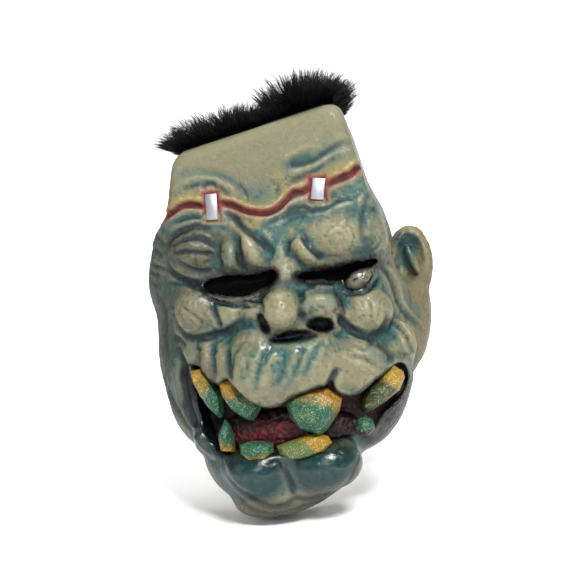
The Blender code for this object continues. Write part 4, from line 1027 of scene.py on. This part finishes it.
def latex_material():
    m = Nodes("painted_latex_look")
    coords = m.coords()
    paint = m.attribute("paint")
    gloss = m.attribute("gloss", "Fac")
    mottle = m.noise(260.0, 4.0, 0.6, coords)
    grain = m.noise(1100.0, 2.0, 0.6, coords)
    shade = m.mix(m.range(mottle, 0.3, 0.7, 0.0, 1.0), (0.88, 0.90, 0.91), (1.09, 1.07, 1.02))
    colour = m.mix(1.0, paint, shade, "MULTIPLY")
    colour = m.mix(m.range(grain, 0.25, 0.75, 0.0, 0.3), colour, (0.86, 0.9, 0.9), "MULTIPLY")
    # dark speckle in the pores, laid where the bump presses the pits in, so it is also painted shade there
    pores = m.voronoi(900.0, "Distance", coords)
    colour = m.mix(m.range(pores, 0.0, 0.28, 0.30, 0.0), colour, (0.45, 0.5, 0.52), "MULTIPLY")
    rough = m.range(gloss, 0.0, 1.0, 0.52, 0.16)
    rough = m.math("ADD", rough, m.range(mottle, 0.3, 0.7, -0.08, 0.10))
    height = m.math("ADD", m.math("MULTIPLY", mottle, 0.6), m.math("MULTIPLY", grain, 0.25))
    height = m.math("ADD", height, m.range(pores, 0.0, 0.35, -0.25, 0.0))
    creases = m.noise(170.0, 7.0, 0.68, coords)
    creases = m.math("ABSOLUTE", m.math("SUBTRACT", creases, 0.5), 0.0)
    rough_skin = m.range(gloss, 0.4, 1.0, 1.0, 0.12)
    normal = m.bump(m.range(creases, 0.0, 0.12, 0.0, 1.0), m.math("MULTIPLY", rough_skin, 0.5), 0.0009,
                    m.bump(height, m.math("MULTIPLY", rough_skin, 0.6), 0.0009))
    m.set(Base_Color=colour, Roughness=rough, Normal=normal, Specular_IOR_Level=0.42, Coat_Weight=0.05,
          Coat_Roughness=0.2)
    return m.material


def enamel_material():
    m = Nodes("tooth_enamel_look")
    coords = m.coords()
    paint = m.attribute("paint")
    glitter = m.voronoi(2300.0, "Color", coords)
    level = m.add("ShaderNodeSeparateColor", {"Color": glitter}).outputs["Red"]
    colour = m.mix(m.range(level, 0.1, 0.9, 0.0, 1.0), (0.6, 0.64, 0.64), (1.3, 1.28, 1.15))
    colour = m.mix(1.0, paint, colour, "MULTIPLY")
    spark = m.range(level, 0.90, 0.95, 0.0, 0.35)
    colour = m.mix(spark, colour, (0.80, 0.80, 0.55))
    rough = m.range(level, 0.0, 1.0, 0.34, 0.5)
    normal = m.bump(m.math("ADD", level, m.noise(500.0, 3.0, 0.6, coords)), 0.5, 0.0005)
    m.set(Base_Color=colour, Roughness=rough, Normal=normal, Specular_IOR_Level=0.4)
    return m.material


def tongue_material():
    m = Nodes("tongue_latex_look")
    coords = m.coords()
    paint = m.attribute("paint")
    mottle = m.noise(500.0, 3.0, 0.6, coords)
    colour = m.mix(1.0, paint, m.mix(m.range(mottle, 0.3, 0.7, 0.0, 1.0), (0.45, 0.42, 0.42), (1.5, 1.4, 1.4)),
                   "MULTIPLY")
    m.set(Base_Color=colour, Roughness=m.range(mottle, 0.3, 0.7, 0.4, 0.65), Normal=m.bump(mottle, 0.5, 0.0008),
          Specular_IOR_Level=0.3)
    return m.material


def metal_material(name, colour, low, high, streak=(1, 1, 1)):
    m = Nodes(name)
    scaled = m.add("ShaderNodeMapping", {"Vector": m.coords(), "Scale": streak}).outputs["Vector"]
    scuff = m.noise(900.0, 4.0, 0.6, scaled)
    m.set(Base_Color=m.mix(m.range(scuff, 0.3, 0.7, 0.0, 1.0), tuple(0.86 * c for c in colour), colour), Metallic=1.0,
          Roughness=m.range(scuff, 0.3, 0.7, low, high), Normal=m.bump(scuff, 0.15, 0.0002))
    return m.material


def fur_material():
    m = Nodes("black_fur_look")
    shade = m.attribute("paint")
    m.set(Base_Color=shade, Roughness=m.range(m.noise(400.0, 2.0), 0.3, 0.7, 0.45, 0.65), Specular_IOR_Level=0.12)
    return m.material


def weave_material(name, colour, thread, sheen=0.15, depth=0.0004, roughness=0.85):
    """Plain woven cloth with crossed threads, `thread` metres apart."""
    m = Nodes(name)
    coords = m.coords()
    heights = []
    for direction in ("X", "Y", "Z"):
        heights.append(m.add("ShaderNodeTexWave", {"Vector": coords, "Scale": 0.31416 / thread, "Distortion": 0.6,
                                                    "Detail": 1.0, "Detail Scale": 2.0},
                             bands_direction=direction).outputs["Fac"])
    height = m.math("ADD", m.math("ADD", heights[0], heights[1]), heights[2])
    fuzz = m.noise(700.0, 3.0, 0.6, coords)
    # raised threads are painted lighter than the hollows between them: painted highlight on the thread tops
    light = tuple(min(1.0, 1.9 * c) for c in colour)
    m.set(Base_Color=m.mix(m.range(m.math("ADD", height, fuzz), 1.0, 3.2, 0.0, 1.0), colour, light),
          Roughness=roughness, Normal=m.bump(m.math("ADD", height, fuzz), 0.6, depth), Sheen_Weight=sheen,
          Specular_IOR_Level=2 * sheen)
    return m.material


# --- Skin mesh ---

LEAN = np.array(Matrix.Rotation(math.radians(35), 3, 'Y') @ Matrix.Rotation(math.radians(25), 3, 'X'))


def wrinkle_depth(points, noise):
    """A fine net of creases, in mm, warped and turned so that the noise's lattice does not show."""
    warp = np.stack([noise.at(points + 13 * axis, 9) + 0.5 * noise.at(points + 29 * axis, 4) for axis in (1, 2, 3)], 1)
    leaning = (points + 4.5 * warp) @ LEAN
    nets = ((0.60, 4, leaning, 8, (1.0, 1.0, 1.9)),
            (0.34, 4, leaning[:, ::-1] + 7, 4.4, (1.0, 1.4, 1.0)),
            (0.34, 5, leaning + 19, 3.4, (1.0, 1.0, 3.5)))
    return sum(depth * np.clip(1 - 2 * np.abs(noise.at(spots, scale, stretch)), 0, 1) ** sharp
               for depth, sharp, spots, scale, stretch in nets)


def build_skin():
    """Meshes the sculpt, presses in the creases, wrinkles and mouth buds, and paints it."""
    grid = openvdb.FloatGrid()
    grid.background = 5.0
    grid.copyFromArray(np.clip(skin_field, -6, 6).astype(np.float32))
    points, quads = grid.convertToQuads(0.0)
    points, quads = largest_piece(np.asarray(points, float) * CELL + LOW, np.asarray(quads, int))
    surface = Surface(points, quads)
    normals = surface.normals()
    on_outer = sample(outer_field, points)
    if (normals * (points - points.mean(0))).sum(1)[on_outer > -1].mean() < 0:
        surface.quads = surface.quads[:, ::-1]
        normals = -normals
    outside = smoothstep(-2.2, -0.6, on_outer)
    shift, deep, scar_distance = carve_strokes(surface, normals, outside)
    noise = ValueNoise(11)
    x, y, z = points.T
    forehead_calm = smoothstep(84, 70, z)
    shift = shift - outside * forehead_calm * wrinkle_depth(points, noise)

    in_mouth = (outline_distance(x, z, smooth_outline(MOUTH)) < -1) & (on_outer > -1)
    wall_radius = np.hypot(x - MOUTH_AXIS[0], y - MOUTH_AXIS[1])
    mouth_wall = in_mouth * smoothstep(MOUTH_RADIUS + 4, MOUTH_RADIUS, wall_radius) * (y < -40)
    buds = 1.6 * np.abs(noise.at(points + 3, 2.6))
    shift = shift * (1 - mouth_wall) + mouth_wall * buds
    lip_calm = smoothstep(-104, -112, z) * smoothstep(-152, -146, z)
    seat = smoothstep(SEAT_RADIUS + 3, SEAT_RADIUS, np.hypot(y - PIVOT[1], z - PIVOT[2]))
    surface.points = points + normals * (shift * (1 - 0.5 * lip_calm) * (1 - seat))[:, None]

    colour, gloss = paint_skin(surface, surface.normals(), outside, deep, scar_distance)
    skin = mesh_object("skin", surface.points, surface.quads)
    set_colour(skin, colour)
    set_colour(skin, gloss, "gloss")
    dress(skin, "face_skin", latex_material())


# --- Teeth ---

# outline (x, z) from its top left corner, root (x, z), tip (x, z), back y, front y, root colour, tip colour
OCHRE = srgb(186, 146, 24)
ORANGE = srgb(178, 128, 6)
LIME = srgb(112, 134, 70)
GREEN = srgb(18, 100, 72)
SEA = srgb(16, 70, 66)
OLIVE = srgb(72, 82, 46)
TEETH = {
    "tooth_upper_left_outer": ([(-70, -53), (-61, -52), (-53, -63), (-47.5, -74), (-48, -86), (-51, -88), (-57, -82),
                                (-63, -72), (-68.5, -60)], (-65, -54), (-50, -86), -76, -94, OCHRE, GREEN),
    "tooth_upper_left_inner": ([(-48, -62), (-38, -60), (-31, -68), (-22, -76), (-19, -82), (-25, -90), (-31, -88.5),
                                (-40, -81.5), (-46, -72)], (-43, -62), (-23, -87), -88, -104, ORANGE, GREEN),
    "tooth_upper_right_big": ([(0, -80), (5, -74), (16, -70), (30, -70), (40, -78), (36, -88), (26, -99),
                               (20.5, -102.5), (15, -99.5), (8, -97), (2.5, -89)], (30, -72), (14, -97), -93, -113,
                              ORANGE, GREEN),
    "tooth_upper_right_outer": ([(67, -64), (74, -60), (81, -65), (81.5, -70), (76, -79), (67, -85), (58, -90),
                                 (51, -92), (49.5, -89), (51, -82), (57, -73)], (76, -66), (54, -88), -70, -90,
                                OCHRE, OLIVE),
    "tooth_lower_left_outer": ([(-45, -90), (-42, -94), (-39.5, -104), (-39.5, -113), (-49.5, -112), (-50.5, -103),
                                (-50, -98)], (-45, -113), (-45, -92), -86, -101, ORANGE, GREEN),
    "tooth_lower_left_inner": ([(-34, -106), (-28, -104.5), (-18, -105), (-12, -107), (-11, -112), (-16, -117),
                                (-30, -117.5), (-35, -112)], (-23, -117), (-23, -106), -94, -109, OCHRE, GREEN),
    "tooth_lower_right_inner": ([(-8, -108), (0, -105.5), (12, -102), (22, -101), (28, -103), (30, -108), (24, -113),
                                 (12, -116.5), (0, -117.5), (-6, -113)], (14, -103), (8, -115), -95, -110, OCHRE,
                                LIME),
    "tooth_lower_right_outer": ([(46, -96), (51, -94), (56, -97), (57.5, -103), (53, -107.5), (46, -107), (43, -102)],
                                (50, -107), (52, -96), -82, -98, MAROON, GREEN),
}


TOOTH_DEPTH = 0.50           # how dark the enamel paint lies under the studio light


def tooth(name, outline, root, tip, y_back, y_front, root_colour, tip_colour, seed):
    """A rough faceted chunk: an outline, a broken ridge in front and a plain back."""
    rng = np.random.default_rng(seed)
    ring = np.array(outline, float)[::-1]
    middle = ring.mean(0)
    axis = np.array(tip, float) - np.array(root, float)
    axis /= np.linalg.norm(axis)
    span = np.abs((ring - middle) @ axis).max()
    step = y_front - y_back
    edge = y_back + 0.45 * step

    def inward(share, depth, jitter):
        pulled = middle + (ring - middle) * share
        pull = 1 + 0.10 * ((pulled - middle) @ axis) / span
        y = np.full(len(ring), depth) + rng.uniform(-jitter, jitter, len(ring))
        return np.stack([middle[0] + (pulled[:, 0] - middle[0]) * pull, y,
                         middle[1] + (pulled[:, 1] - middle[1]) * pull], 1)

    rings = [inward(0.9, y_back, 0.0), inward(1.0, edge, 0.3), inward(0.80, y_back + 0.82 * step, 0.8),
             inward(0.36, y_front, 0.9)]
    bm = bmesh.new()
    levels = [[bm.verts.new(p) for p in level] for level in rings]
    count = len(ring)
    for low, high in zip(levels, levels[1:]):
        for i in range(count):
            j = (i + 1) % count
            bm.faces.new((low[i], low[j], high[j]))
            bm.faces.new((low[i], high[j], high[i]))
    bm.faces.new(levels[0][::-1])
    centre = bm.verts.new((middle[0] + 0.8, y_front - 0.8, middle[1]))
    for i in range(count):
        bm.faces.new((levels[-1][i], levels[-1][(i + 1) % count], centre))
    bmesh.ops.recalc_face_normals(bm, faces=bm.faces)
    bmesh.ops.bevel(bm, geom=[e for e in bm.edges if len(e.link_faces) == 2 and e.calc_face_angle() > 0.25],
                    offset=0.35, segments=1, profile=0.5, affect='EDGES')
    bmesh.ops.triangulate(bm, faces=bm.faces)
    bmesh.ops.subdivide_edges(bm, edges=[e for e in bm.edges if e.calc_length() > 1.5], cuts=2, use_grid_fill=True)
    bmesh.ops.triangulate(bm, faces=bm.faces)
    obj, points = bmesh_object(name.replace("tooth", "enamel"), bm, smooth=False)
    noise = ValueNoise(seed + 50)
    along = ((points[:, [0, 2]] - np.array(root)) @ axis) / np.linalg.norm(np.array(tip, float) - np.array(root))
    along = along + 0.16 * noise.at(points, 6) + 0.10 * noise.at(points, 2.2)
    share = smoothstep(0.22, 0.5, along)[:, None]
    colour = np.array(root_colour) * (1 - share) + np.array(tip_colour) * share
    patch = smoothstep(0.2, 0.7, noise.at(points + 17, 5))[:, None] * 0.5
    colour = colour * (1 - patch) + np.array(LIME if root_colour != MAROON else SEA) * patch * share \
        + colour * patch * (1 - share)
    # painted shade: each tooth darker towards its back, deeper in the mouth
    shade = smoothstep(y_back + 0.55 * step, y_back, points[:, 1])[:, None] * 0.65
    colour = colour * (1 - shade) + np.array(srgb(40, 30, 12)) * shade
    set_colour(obj, colour * TOOTH_DEPTH)
    return obj


# --- Tongue ---

def tongue():
    """The rough floor of the mouth: a curved sheet with buds, closed at the back."""
    step = 0.9
    xs, zs = np.arange(-60, 56, step), np.arange(-118, -82, step)
    gx, gz = np.meshgrid(xs, zs, indexing="ij")
    centre, half = (-4, -76, -102), (52, 17, 20)      # of the ellipsoid it is a cap of
    share = ((gx - centre[0]) / half[0]) ** 2 + ((gz - centre[2]) / half[2]) ** 2
    bulge = centre[1] - half[1] * np.sqrt(np.clip(1 - share, 0, 1))
    flat = np.stack([gx.ravel(), np.zeros(gx.size), gz.ravel()], 1)
    rough = ValueNoise(21)
    buds = np.abs(rough.at(flat, 1.7)).reshape(gx.shape) * 2.0 + 0.8 * rough.at(flat + 5, 5).reshape(gx.shape)
    back = MOUTH_AXIS[1] - np.sqrt(np.clip(MOUTH_RADIUS ** 2 - (gx - MOUTH_AXIS[0]) ** 2, 0, None)) - 0.2
    y = bulge - buds
    inside = (outline_distance(gx, gz, smooth_outline(MOUTH)) < -0.2) & (y < back - 0.4) & (share < 0.99)
    index = -np.ones(gx.shape, int)
    index[inside] = np.arange(inside.sum())
    cells = inside[:-1, :-1] & inside[1:, :-1] & inside[1:, 1:] & inside[:-1, 1:]
    i, j = np.nonzero(cells)
    quads = np.stack([index[i, j], index[i + 1, j], index[i + 1, j + 1], index[i, j + 1]], 1)
    front = np.stack([gx[inside], y[inside], gz[inside]], 1)
    rear = np.stack([gx[inside], np.maximum(back[inside], y[inside] + 0.8), gz[inside]], 1)
    count = len(front)
    ends = np.vstack([quads[:, [k, (k + 1) % 4]] for k in range(4)])
    keys = {tuple(e) for e in ends}
    rim = np.array([(a, b) for a, b in keys if (b, a) not in keys])
    sides = np.stack([rim[:, 1], rim[:, 0], rim[:, 0] + count, rim[:, 1] + count], 1)
    faces = np.vstack([quads, quads[:, ::-1] + count, sides])
    used = np.unique(faces)
    remap = -np.ones(2 * count, int)
    remap[used] = np.arange(len(used))
    points = np.vstack([front, rear])[used]
    obj = mesh_object("tongue_flesh", points, remap[faces])
    # painted light: lighter red over the lit lower front, dark red towards the top as painted shade; the buds' tops
    # painted lighter as highlights and the pits between them darker as painted shade
    lit_front_share = outline_share(points[:, 0], points[:, 2], (-12, -100), (26, 8), 4)
    red, dark = np.array(srgb(92, 12, 18)), np.array(srgb(32, 3, 7))
    amount = (smoothstep(1.5, 0.3, lit_front_share + 0.25 * rough.at(points, 4)) * 0.75)[:, None]
    colour = dark * (1 - amount) + red * amount
    bud_top_light = np.clip(np.abs(rough.at(np.stack([points[:, 0], 0 * points[:, 1], points[:, 2]], 1), 1.7)) * 1.6, 0, 1)
    set_colour(obj, colour * (0.12 + 1.0 * bud_top_light[:, None]))
    return obj


# --- Staples ---

def staple(name, centre, width, height, tilt):
    """A flat staple with rounded edges, legs through the skin and ends turned over inside."""
    front, back = FOREHEAD_Y - 1.2, FOREHEAD_Y
    leg, turn = 1.4, 4.5
    inner = FOREHEAD_Y + 3.0
    top = height / 2
    half_section = [(front, top), (inner + leg, top), (inner + leg, top - turn), (inner, top - turn),
                    (inner, top - leg), (back, top - leg)]
    section = half_section + [(y, -z) for y, z in reversed(half_section)]
    bm = bmesh.new()
    face = bm.faces.new([bm.verts.new((-width / 2, y, z)) for y, z in section])
    grown = bmesh.ops.extrude_face_region(bm, geom=[face])["geom"]
    bmesh.ops.translate(bm, vec=(width, 0, 0), verts=[v for v in grown if isinstance(v, bmesh.types.BMVert)])
    bmesh.ops.recalc_face_normals(bm, faces=bm.faces)
    bmesh.ops.bevel(bm, geom=[e for e in bm.edges if e.calc_face_angle(0) > 0.5], offset=0.4, segments=3,
                    profile=0.5, affect='EDGES')
    place = Matrix.Translation((centre[0], 0, centre[1])) @ Matrix.Rotation(-math.radians(tilt), 4, 'Y')
    bmesh.ops.transform(bm, matrix=place, verts=bm.verts)
    return bmesh_object(name.replace("staple", "staple_plate"), bm)[0]


# --- Fur ---

CROWN_LEFT, CROWN_RIGHT = np.array((-75.0, 99.0)), np.array((51.0, 125.0))
CROWN_SLOPE = (CROWN_RIGHT[1] - CROWN_LEFT[1]) / (CROWN_RIGHT[0] - CROWN_LEFT[0])
CROWN_MIDDLE, CROWN_HALF = -12, 54   # where strands may not dip below the crown, along x
FUR_TOP = 173                # the highest strand tip


def crown_z(x):
    return CROWN_LEFT[1] + (x - CROWN_LEFT[0]) * CROWN_SLOPE


STRANDS = 9000
# piece, CAD node, (x range, y range, heights, leans, seed)
TUFTS = [
    ("fur_left", "fur_tuft_left", ((-70, -5), (-68, 4), [19, 22, 23, 21, 24, 22, 12],
                                   [-1.0, -0.65, -0.4, -0.25, -0.1, 0.05, -0.1], 7)),
    ("fur_right", "fur_tuft_right", ((-2, 46), (-62, 14), [22, 33, 37, 35, 33, 27],
                                     [-0.25, -0.1, 0.0, 0.10, 0.25, 0.42], 8)),
]


def fur_tuft(name, x_range, y_range, height, lean, seed):
    """Tapered three-sided strands rooted on the backing; height and lean are given at even steps along x_range."""
    count = STRANDS
    rng = np.random.default_rng(seed)
    u, v = rng.uniform(0, 1, count), rng.uniform(0, 1, count)
    x = x_range[0] + (x_range[1] - x_range[0]) * u
    y = y_range[0] + (y_range[1] - y_range[0]) * v
    root = np.stack([x, y, crown_z(x) + 1.9], 1)
    edge_x = np.interp(u, [0, 0.14, 0.86, 1], [1, 0.25, 0.25, 1])
    clump = [ValueNoise(seed + 30 + k).at(root, scale) for k, scale in enumerate((9, 6, 6, 12))]
    tall = np.interp(u, np.linspace(0, 1, len(height)), height) * (1 + 0.35 * clump[0] + 0.2 * clump[3])
    tall *= 0.78 + 0.26 * rng.uniform(0, 1, count) + 0.22 * (rng.uniform(0, 1, count) > 0.93)
    tall *= np.interp(v, [0, 0.10, 0.85, 1], [0.75, 1, 1, 0.6])
    sweep = np.interp(u, np.linspace(0, 1, len(lean)), lean) + 0.55 * clump[1] + rng.normal(0, 0.15, count)
    forward = np.interp(v, [0, 0.15, 0.8, 1], [-0.6, -0.1, 0.1, 0.6]) + 0.5 * clump[2] \
        + rng.normal(0, 0.15, count)
    direction = np.stack([sweep, forward, np.ones(count)], 1)
    direction /= np.linalg.norm(direction, axis=1, keepdims=True)
    reach = tall * rng.uniform(0.75, 1.2, count)
    reach = np.minimum(reach, (FUR_TOP - 4 * rng.uniform(0, 1, count) - root[:, 2]) / direction[:, 2])
    curl = np.stack([rng.normal(0, 0.10, count) + 0.2 * sweep, rng.normal(0, 0.10, count) + 0.2 * forward,
                     -0.22 * edge_x - 0.10 * rng.uniform(0, 1, count)], 1)
    across = np.cross(direction, rng.normal(size=(count, 3)))
    across /= np.linalg.norm(across, axis=1, keepdims=True)
    other = np.cross(direction, across)
    points, shares = [], (0.0, 0.38, 0.72, 1.0)
    thick = rng.uniform(0.20, 0.34, count)[:, None]
    for share in shares:
        spot = root + direction * (reach * share)[:, None] + curl * (reach * share ** 2)[:, None]
        over_crown = abs(spot[:, 0] - CROWN_MIDDLE) < CROWN_HALF
        spot[:, 2] = np.maximum(spot[:, 2], crown_z(spot[:, 0]) + np.where(over_crown, 0.8, -16))
        if share == 1.0:
            points.append(spot[:, None])
            continue
        width = thick * (1 - 0.72 * share)
        points.append(np.stack([spot + width * (math.cos(a) * across + math.sin(a) * other)
                                for a in (0, math.tau / 3, 2 * math.tau / 3)], 1))
    block = np.concatenate(points, 1)
    size = block.shape[1]
    faces = []
    for level in range(len(shares) - 2):
        base = 3 * level
        for side in range(3):
            a, b = base + side, base + (side + 1) % 3
            faces += [(a, b, b + 3), (a, b + 3, a + 3)]
    base = 3 * (len(shares) - 2)
    faces += [(base + side, base + (side + 1) % 3, size - 1) for side in range(3)]
    faces.append((2, 1, 0))
    faces = (np.array(faces)[None] + (np.arange(count) * size)[:, None, None]).reshape(-1, 3)
    obj = mesh_object(name, block.reshape(-1, 3), faces)
    # painted shade and sheen: each strand darker at the root, deep in the pile, and lighter towards the tip, with a
    # slight blue for the fur's sheen
    root_shade_tip_sheen = np.repeat(rng.uniform(0.001, 0.006, count), size)
    root_shade_tip_sheen = root_shade_tip_sheen * (1 + np.tile(np.array([-0.5] * 3 + [0.0] * 3 + [0.5] * 3 + [1.0]), count))
    set_colour(obj, np.stack([root_shade_tip_sheen, root_shade_tip_sheen * 1.05, root_shade_tip_sheen * 1.18], 1))
    return obj


# --- Strap ---

def elastic_strap():
    """A flat woven band: long ribs, rolled edges and round ends, following the CAD band's loop."""
    side, straight, corner, thickness, half_width = 93.5, 34.0, 70.0, 1.2, 9.0
    line = [(-side, s) for s in np.linspace(0, straight, 16)[:-1]]
    line += [(-side * math.cos(a), straight + corner * math.sin(a)) for a in np.linspace(0, math.pi, 121)]
    line += [(side, s) for s in np.linspace(straight, 0, 16)[1:]]
    end = half_width
    lead = [(-side, -s) for s in np.linspace(end, 0, 9)[:-1]]
    line = np.array(lead + line + [(x * -1, y) for x, y in reversed(lead)], float)
    run = np.concatenate([[0], np.cumsum(np.hypot(*np.diff(line, axis=0).T))])
    tangent = np.gradient(line, axis=0)
    tangent /= np.linalg.norm(tangent, axis=1, keepdims=True)
    inward = np.stack([tangent[:, 1], -tangent[:, 0]], 1)
    ribs = 9
    samples = 6 * ribs
    across = np.linspace(-1, 1, samples + 1)
    ripple = 0.16 * np.abs(np.sin(across * math.pi * ribs / 2))
    rings = []
    total = run[-1]
    for k, (spot, inner, s) in enumerate(zip(line, inward, run)):
        from_end = min(s, total - s)
        width = half_width * math.sqrt(max(0.0, 1 - max(0.0, 1 - from_end / end) ** 2)) + 0.05
        thin = (thickness / 2 - 0.02) * np.sqrt(np.clip(1 - np.abs(across) ** 10, 0.02, 1))
        pucker = 0.05 * math.cos(k * math.pi)
        outer_side = thin - 0.16 + ripple + pucker * (ripple > 0.08)
        inner_side = -(thin - 0.16 + ripple)
        middle = thickness / 2
        offsets = np.concatenate([middle - outer_side, (middle - inner_side)[::-1]])
        heights = np.concatenate([across, across[::-1]]) * width
        rings.append(np.stack([spot[0] + inner[0] * offsets, spot[1] + inner[1] * offsets, heights], 1))
    rings = np.array(rings)
    count, size = rings.shape[:2]
    i, j = np.meshgrid(np.arange(count - 1), np.arange(size), indexing="ij")
    i, j = i.ravel(), j.ravel()
    n = (j + 1) % size
    faces = np.stack([i * size + j, i * size + n, (i + 1) * size + n, (i + 1) * size + j], 1)
    caps = []
    half_size = size // 2
    for base in (0, (count - 1) * size):
        for k in range(half_size - 1):
            quad = [base + k, base + k + 1, base + size - 2 - k, base + size - 1 - k]
            caps.append(quad if base else quad[::-1])
    points = rings.reshape(-1, 3) + np.array(PIVOT)
    obj = mesh_object("elastic_webbing", points, np.vstack([faces, np.array(caps)]))
    bm = bmesh.new()
    bm.from_mesh(obj.data)
    bmesh.ops.recalc_face_normals(bm, faces=bm.faces)
    bm.to_mesh(obj.data)
    bm.free()
    return obj


# --- Thin cloth pieces ---

CLOTH_CELL = 6 * MM          # edges longer than this are divided
CLOTH_LIFT = 0.05            # unevenness, in mm


def clear_of_skin(points):
    """How far each point has to sag towards the wearer so that the sheet lies behind the skin, in mm."""
    push = np.zeros(len(points))
    step, gap = 0.4, 0.5
    for _ in range(16):
        moved = points + np.stack([0 * push, push, 0 * push], 1)
        push += step * (sample(skin_field, moved) < gap)
    apart = np.hypot(points[:, None, 0] - points[None, :, 0], points[:, None, 2] - points[None, :, 2])
    return (push[None] * smoothstep(7.0, 2.0, apart)).max(1)


def cloth_piece(node_name, name, look):
    """A cloth version of a thin CAD solid: the same sheet, finely divided, with a slight unevenness.
    """
    bm = bmesh.new()
    bm.from_mesh(nodes[node_name].data)
    long_edges = [e for e in bm.edges if e.calc_length() > CLOTH_CELL]
    bmesh.ops.subdivide_edges(bm, edges=long_edges, cuts=5, use_grid_fill=True)
    bmesh.ops.triangulate(bm, faces=bm.faces)
    points = np.array([v.co for v in bm.verts]) / MM
    uneven = ValueNoise(5).at(points, 5)
    bm.normal_update()
    push = clear_of_skin(points) if node_name.startswith("eye_screen") else np.zeros(len(points))
    for vertex, lift, back in zip(bm.verts, uneven, push):
        vertex.co += vertex.normal * (CLOTH_LIFT * MM * float(lift)) + Vector((0, float(back) * MM, 0))
    mesh = bpy.data.meshes.new(name)
    bm.to_mesh(mesh)
    area = sum(f.calc_area() for f in bm.faces) / 2
    bm.free()
    piece = bpy.data.objects.new(name, mesh)
    bpy.context.scene.collection.objects.link(piece)
    mesh.materials.clear()
    dress(piece, node_name, look)
    return piece


# --- Stage ---

def area_light(name, place, target, size, power, colour=(1, 1, 1)):
    data = bpy.data.lights.new(name, "AREA")
    data.shape, data.size, data.energy, data.color = "DISK", size, power, colour
    light = bpy.data.objects.new(name, data)
    bpy.context.scene.collection.objects.link(light)
    light.location = place
    light.rotation_euler = (Vector(target) - Vector(place)).to_track_quat('-Z', 'Y').to_euler()


def make_stage(floor_z):
    scene = bpy.context.scene
    scene.view_settings.view_transform = "Standard"
    scene.view_settings.look = "None"
    world = bpy.data.worlds.new("studio")
    scene.world = world
    world.use_nodes = True
    world.node_tree.nodes["Background"].inputs["Color"].default_value = (1, 1, 1, 1)
    world.node_tree.nodes["Background"].inputs["Strength"].default_value = 0.27
    half_width, front, wall, radius, top = 5.0, -4.0, 2.2, 0.9, 4.0   # the sweep's sizes in metres
    profile = [(front, floor_z)]
    profile += [(wall - radius + radius * math.sin(a), floor_z + radius - radius * math.cos(a))
                for a in np.linspace(0, math.pi / 2, 17)]
    profile.append((wall, top))
    points = [(x / MM, y / MM, z / MM) for y, z in profile for x in (-half_width, half_width)]
    faces = [[2 * i, 2 * i + 1, 2 * i + 3, 2 * i + 2] for i in range(len(profile) - 1)]
    sweep = mesh_object("floor", points, faces)
    m = Nodes("pale_floor")
    m.set(Base_Color=(0.93, 0.93, 0.93, 1), Roughness=0.95, Specular_IOR_Level=0.1)
    sweep.data.materials.append(m.material)
    look_at = (0, -0.05, -0.02)
    area_light("key", (0.42, -1.0, 0.90), look_at, 0.40, 27)
    area_light("fill", (-0.95, -0.7, 0.25), look_at, 0.6, 1.0)
    area_light("front", (0.0, -1.5, 0.45), look_at, 0.4, 5)
    area_light("floor_wash", (0, 0.5, 2.0), (0, 0.2, 0), 2.0, 34)
    area_light("wall_wash", (0, 0.55, 1.0), (0, 2.2, 0.7), 1.2, 34)


# --- Build ---

make_camera()

skin_field, outer_field = sculpt()
build_skin()

enamel = enamel_material()
for number, (name, shape) in enumerate(TEETH.items()):
    dress(tooth(name, *shape, seed=100 + number), name, enamel)

dress(tongue(), "tongue", tongue_material())

steel = metal_material("staple_steel_look", (0.42, 0.43, 0.46), 0.3, 0.46, (1, 1, 0.15))
for name, shape in STAPLES.items():
    dress(staple(name, *shape), name, steel)

fur = fur_material()
for name, node_name, shape in TUFTS:
    dress(fur_tuft(name, *shape), node_name, fur)

strap = elastic_strap()
webbing = weave_material("black_elastic_look", (0.012, 0.012, 0.014), 0.0011)
dress(strap, "elastic_band", webbing, body="strap")

nickel = metal_material("nickel_look", (0.66, 0.63, 0.58), 0.22, 0.38)
for name, node in nodes.items():
    if name.startswith(("rivet", "washer")):
        node.data.materials.clear()
        node.data.materials.append(nickel)

# the eye screens are near-black gauze that stands in for the shade inside the mask behind the eye slits
gauze = weave_material("black_gauze_shade_look", (0.001, 0.001, 0.0012), 0.0008, 0.01)
lining = weave_material("patch_cloth_look", (0.035, 0.035, 0.036), 0.0007)
for side, screen_width in (("left", 0.024), ("right", 0.0216)):
    cloth_piece(f"eye_screen_{side}", f"gauze_{side}", gauze)
    cloth_piece(f"patch_{side}", f"lining_patch_{side}", lining)
cloth_piece("fur_backing", "fur_cloth", weave_material("fur_backing_look", (0.012, 0.012, 0.012), 0.0009))

make_stage(cad_box[0].z - 0.0015)
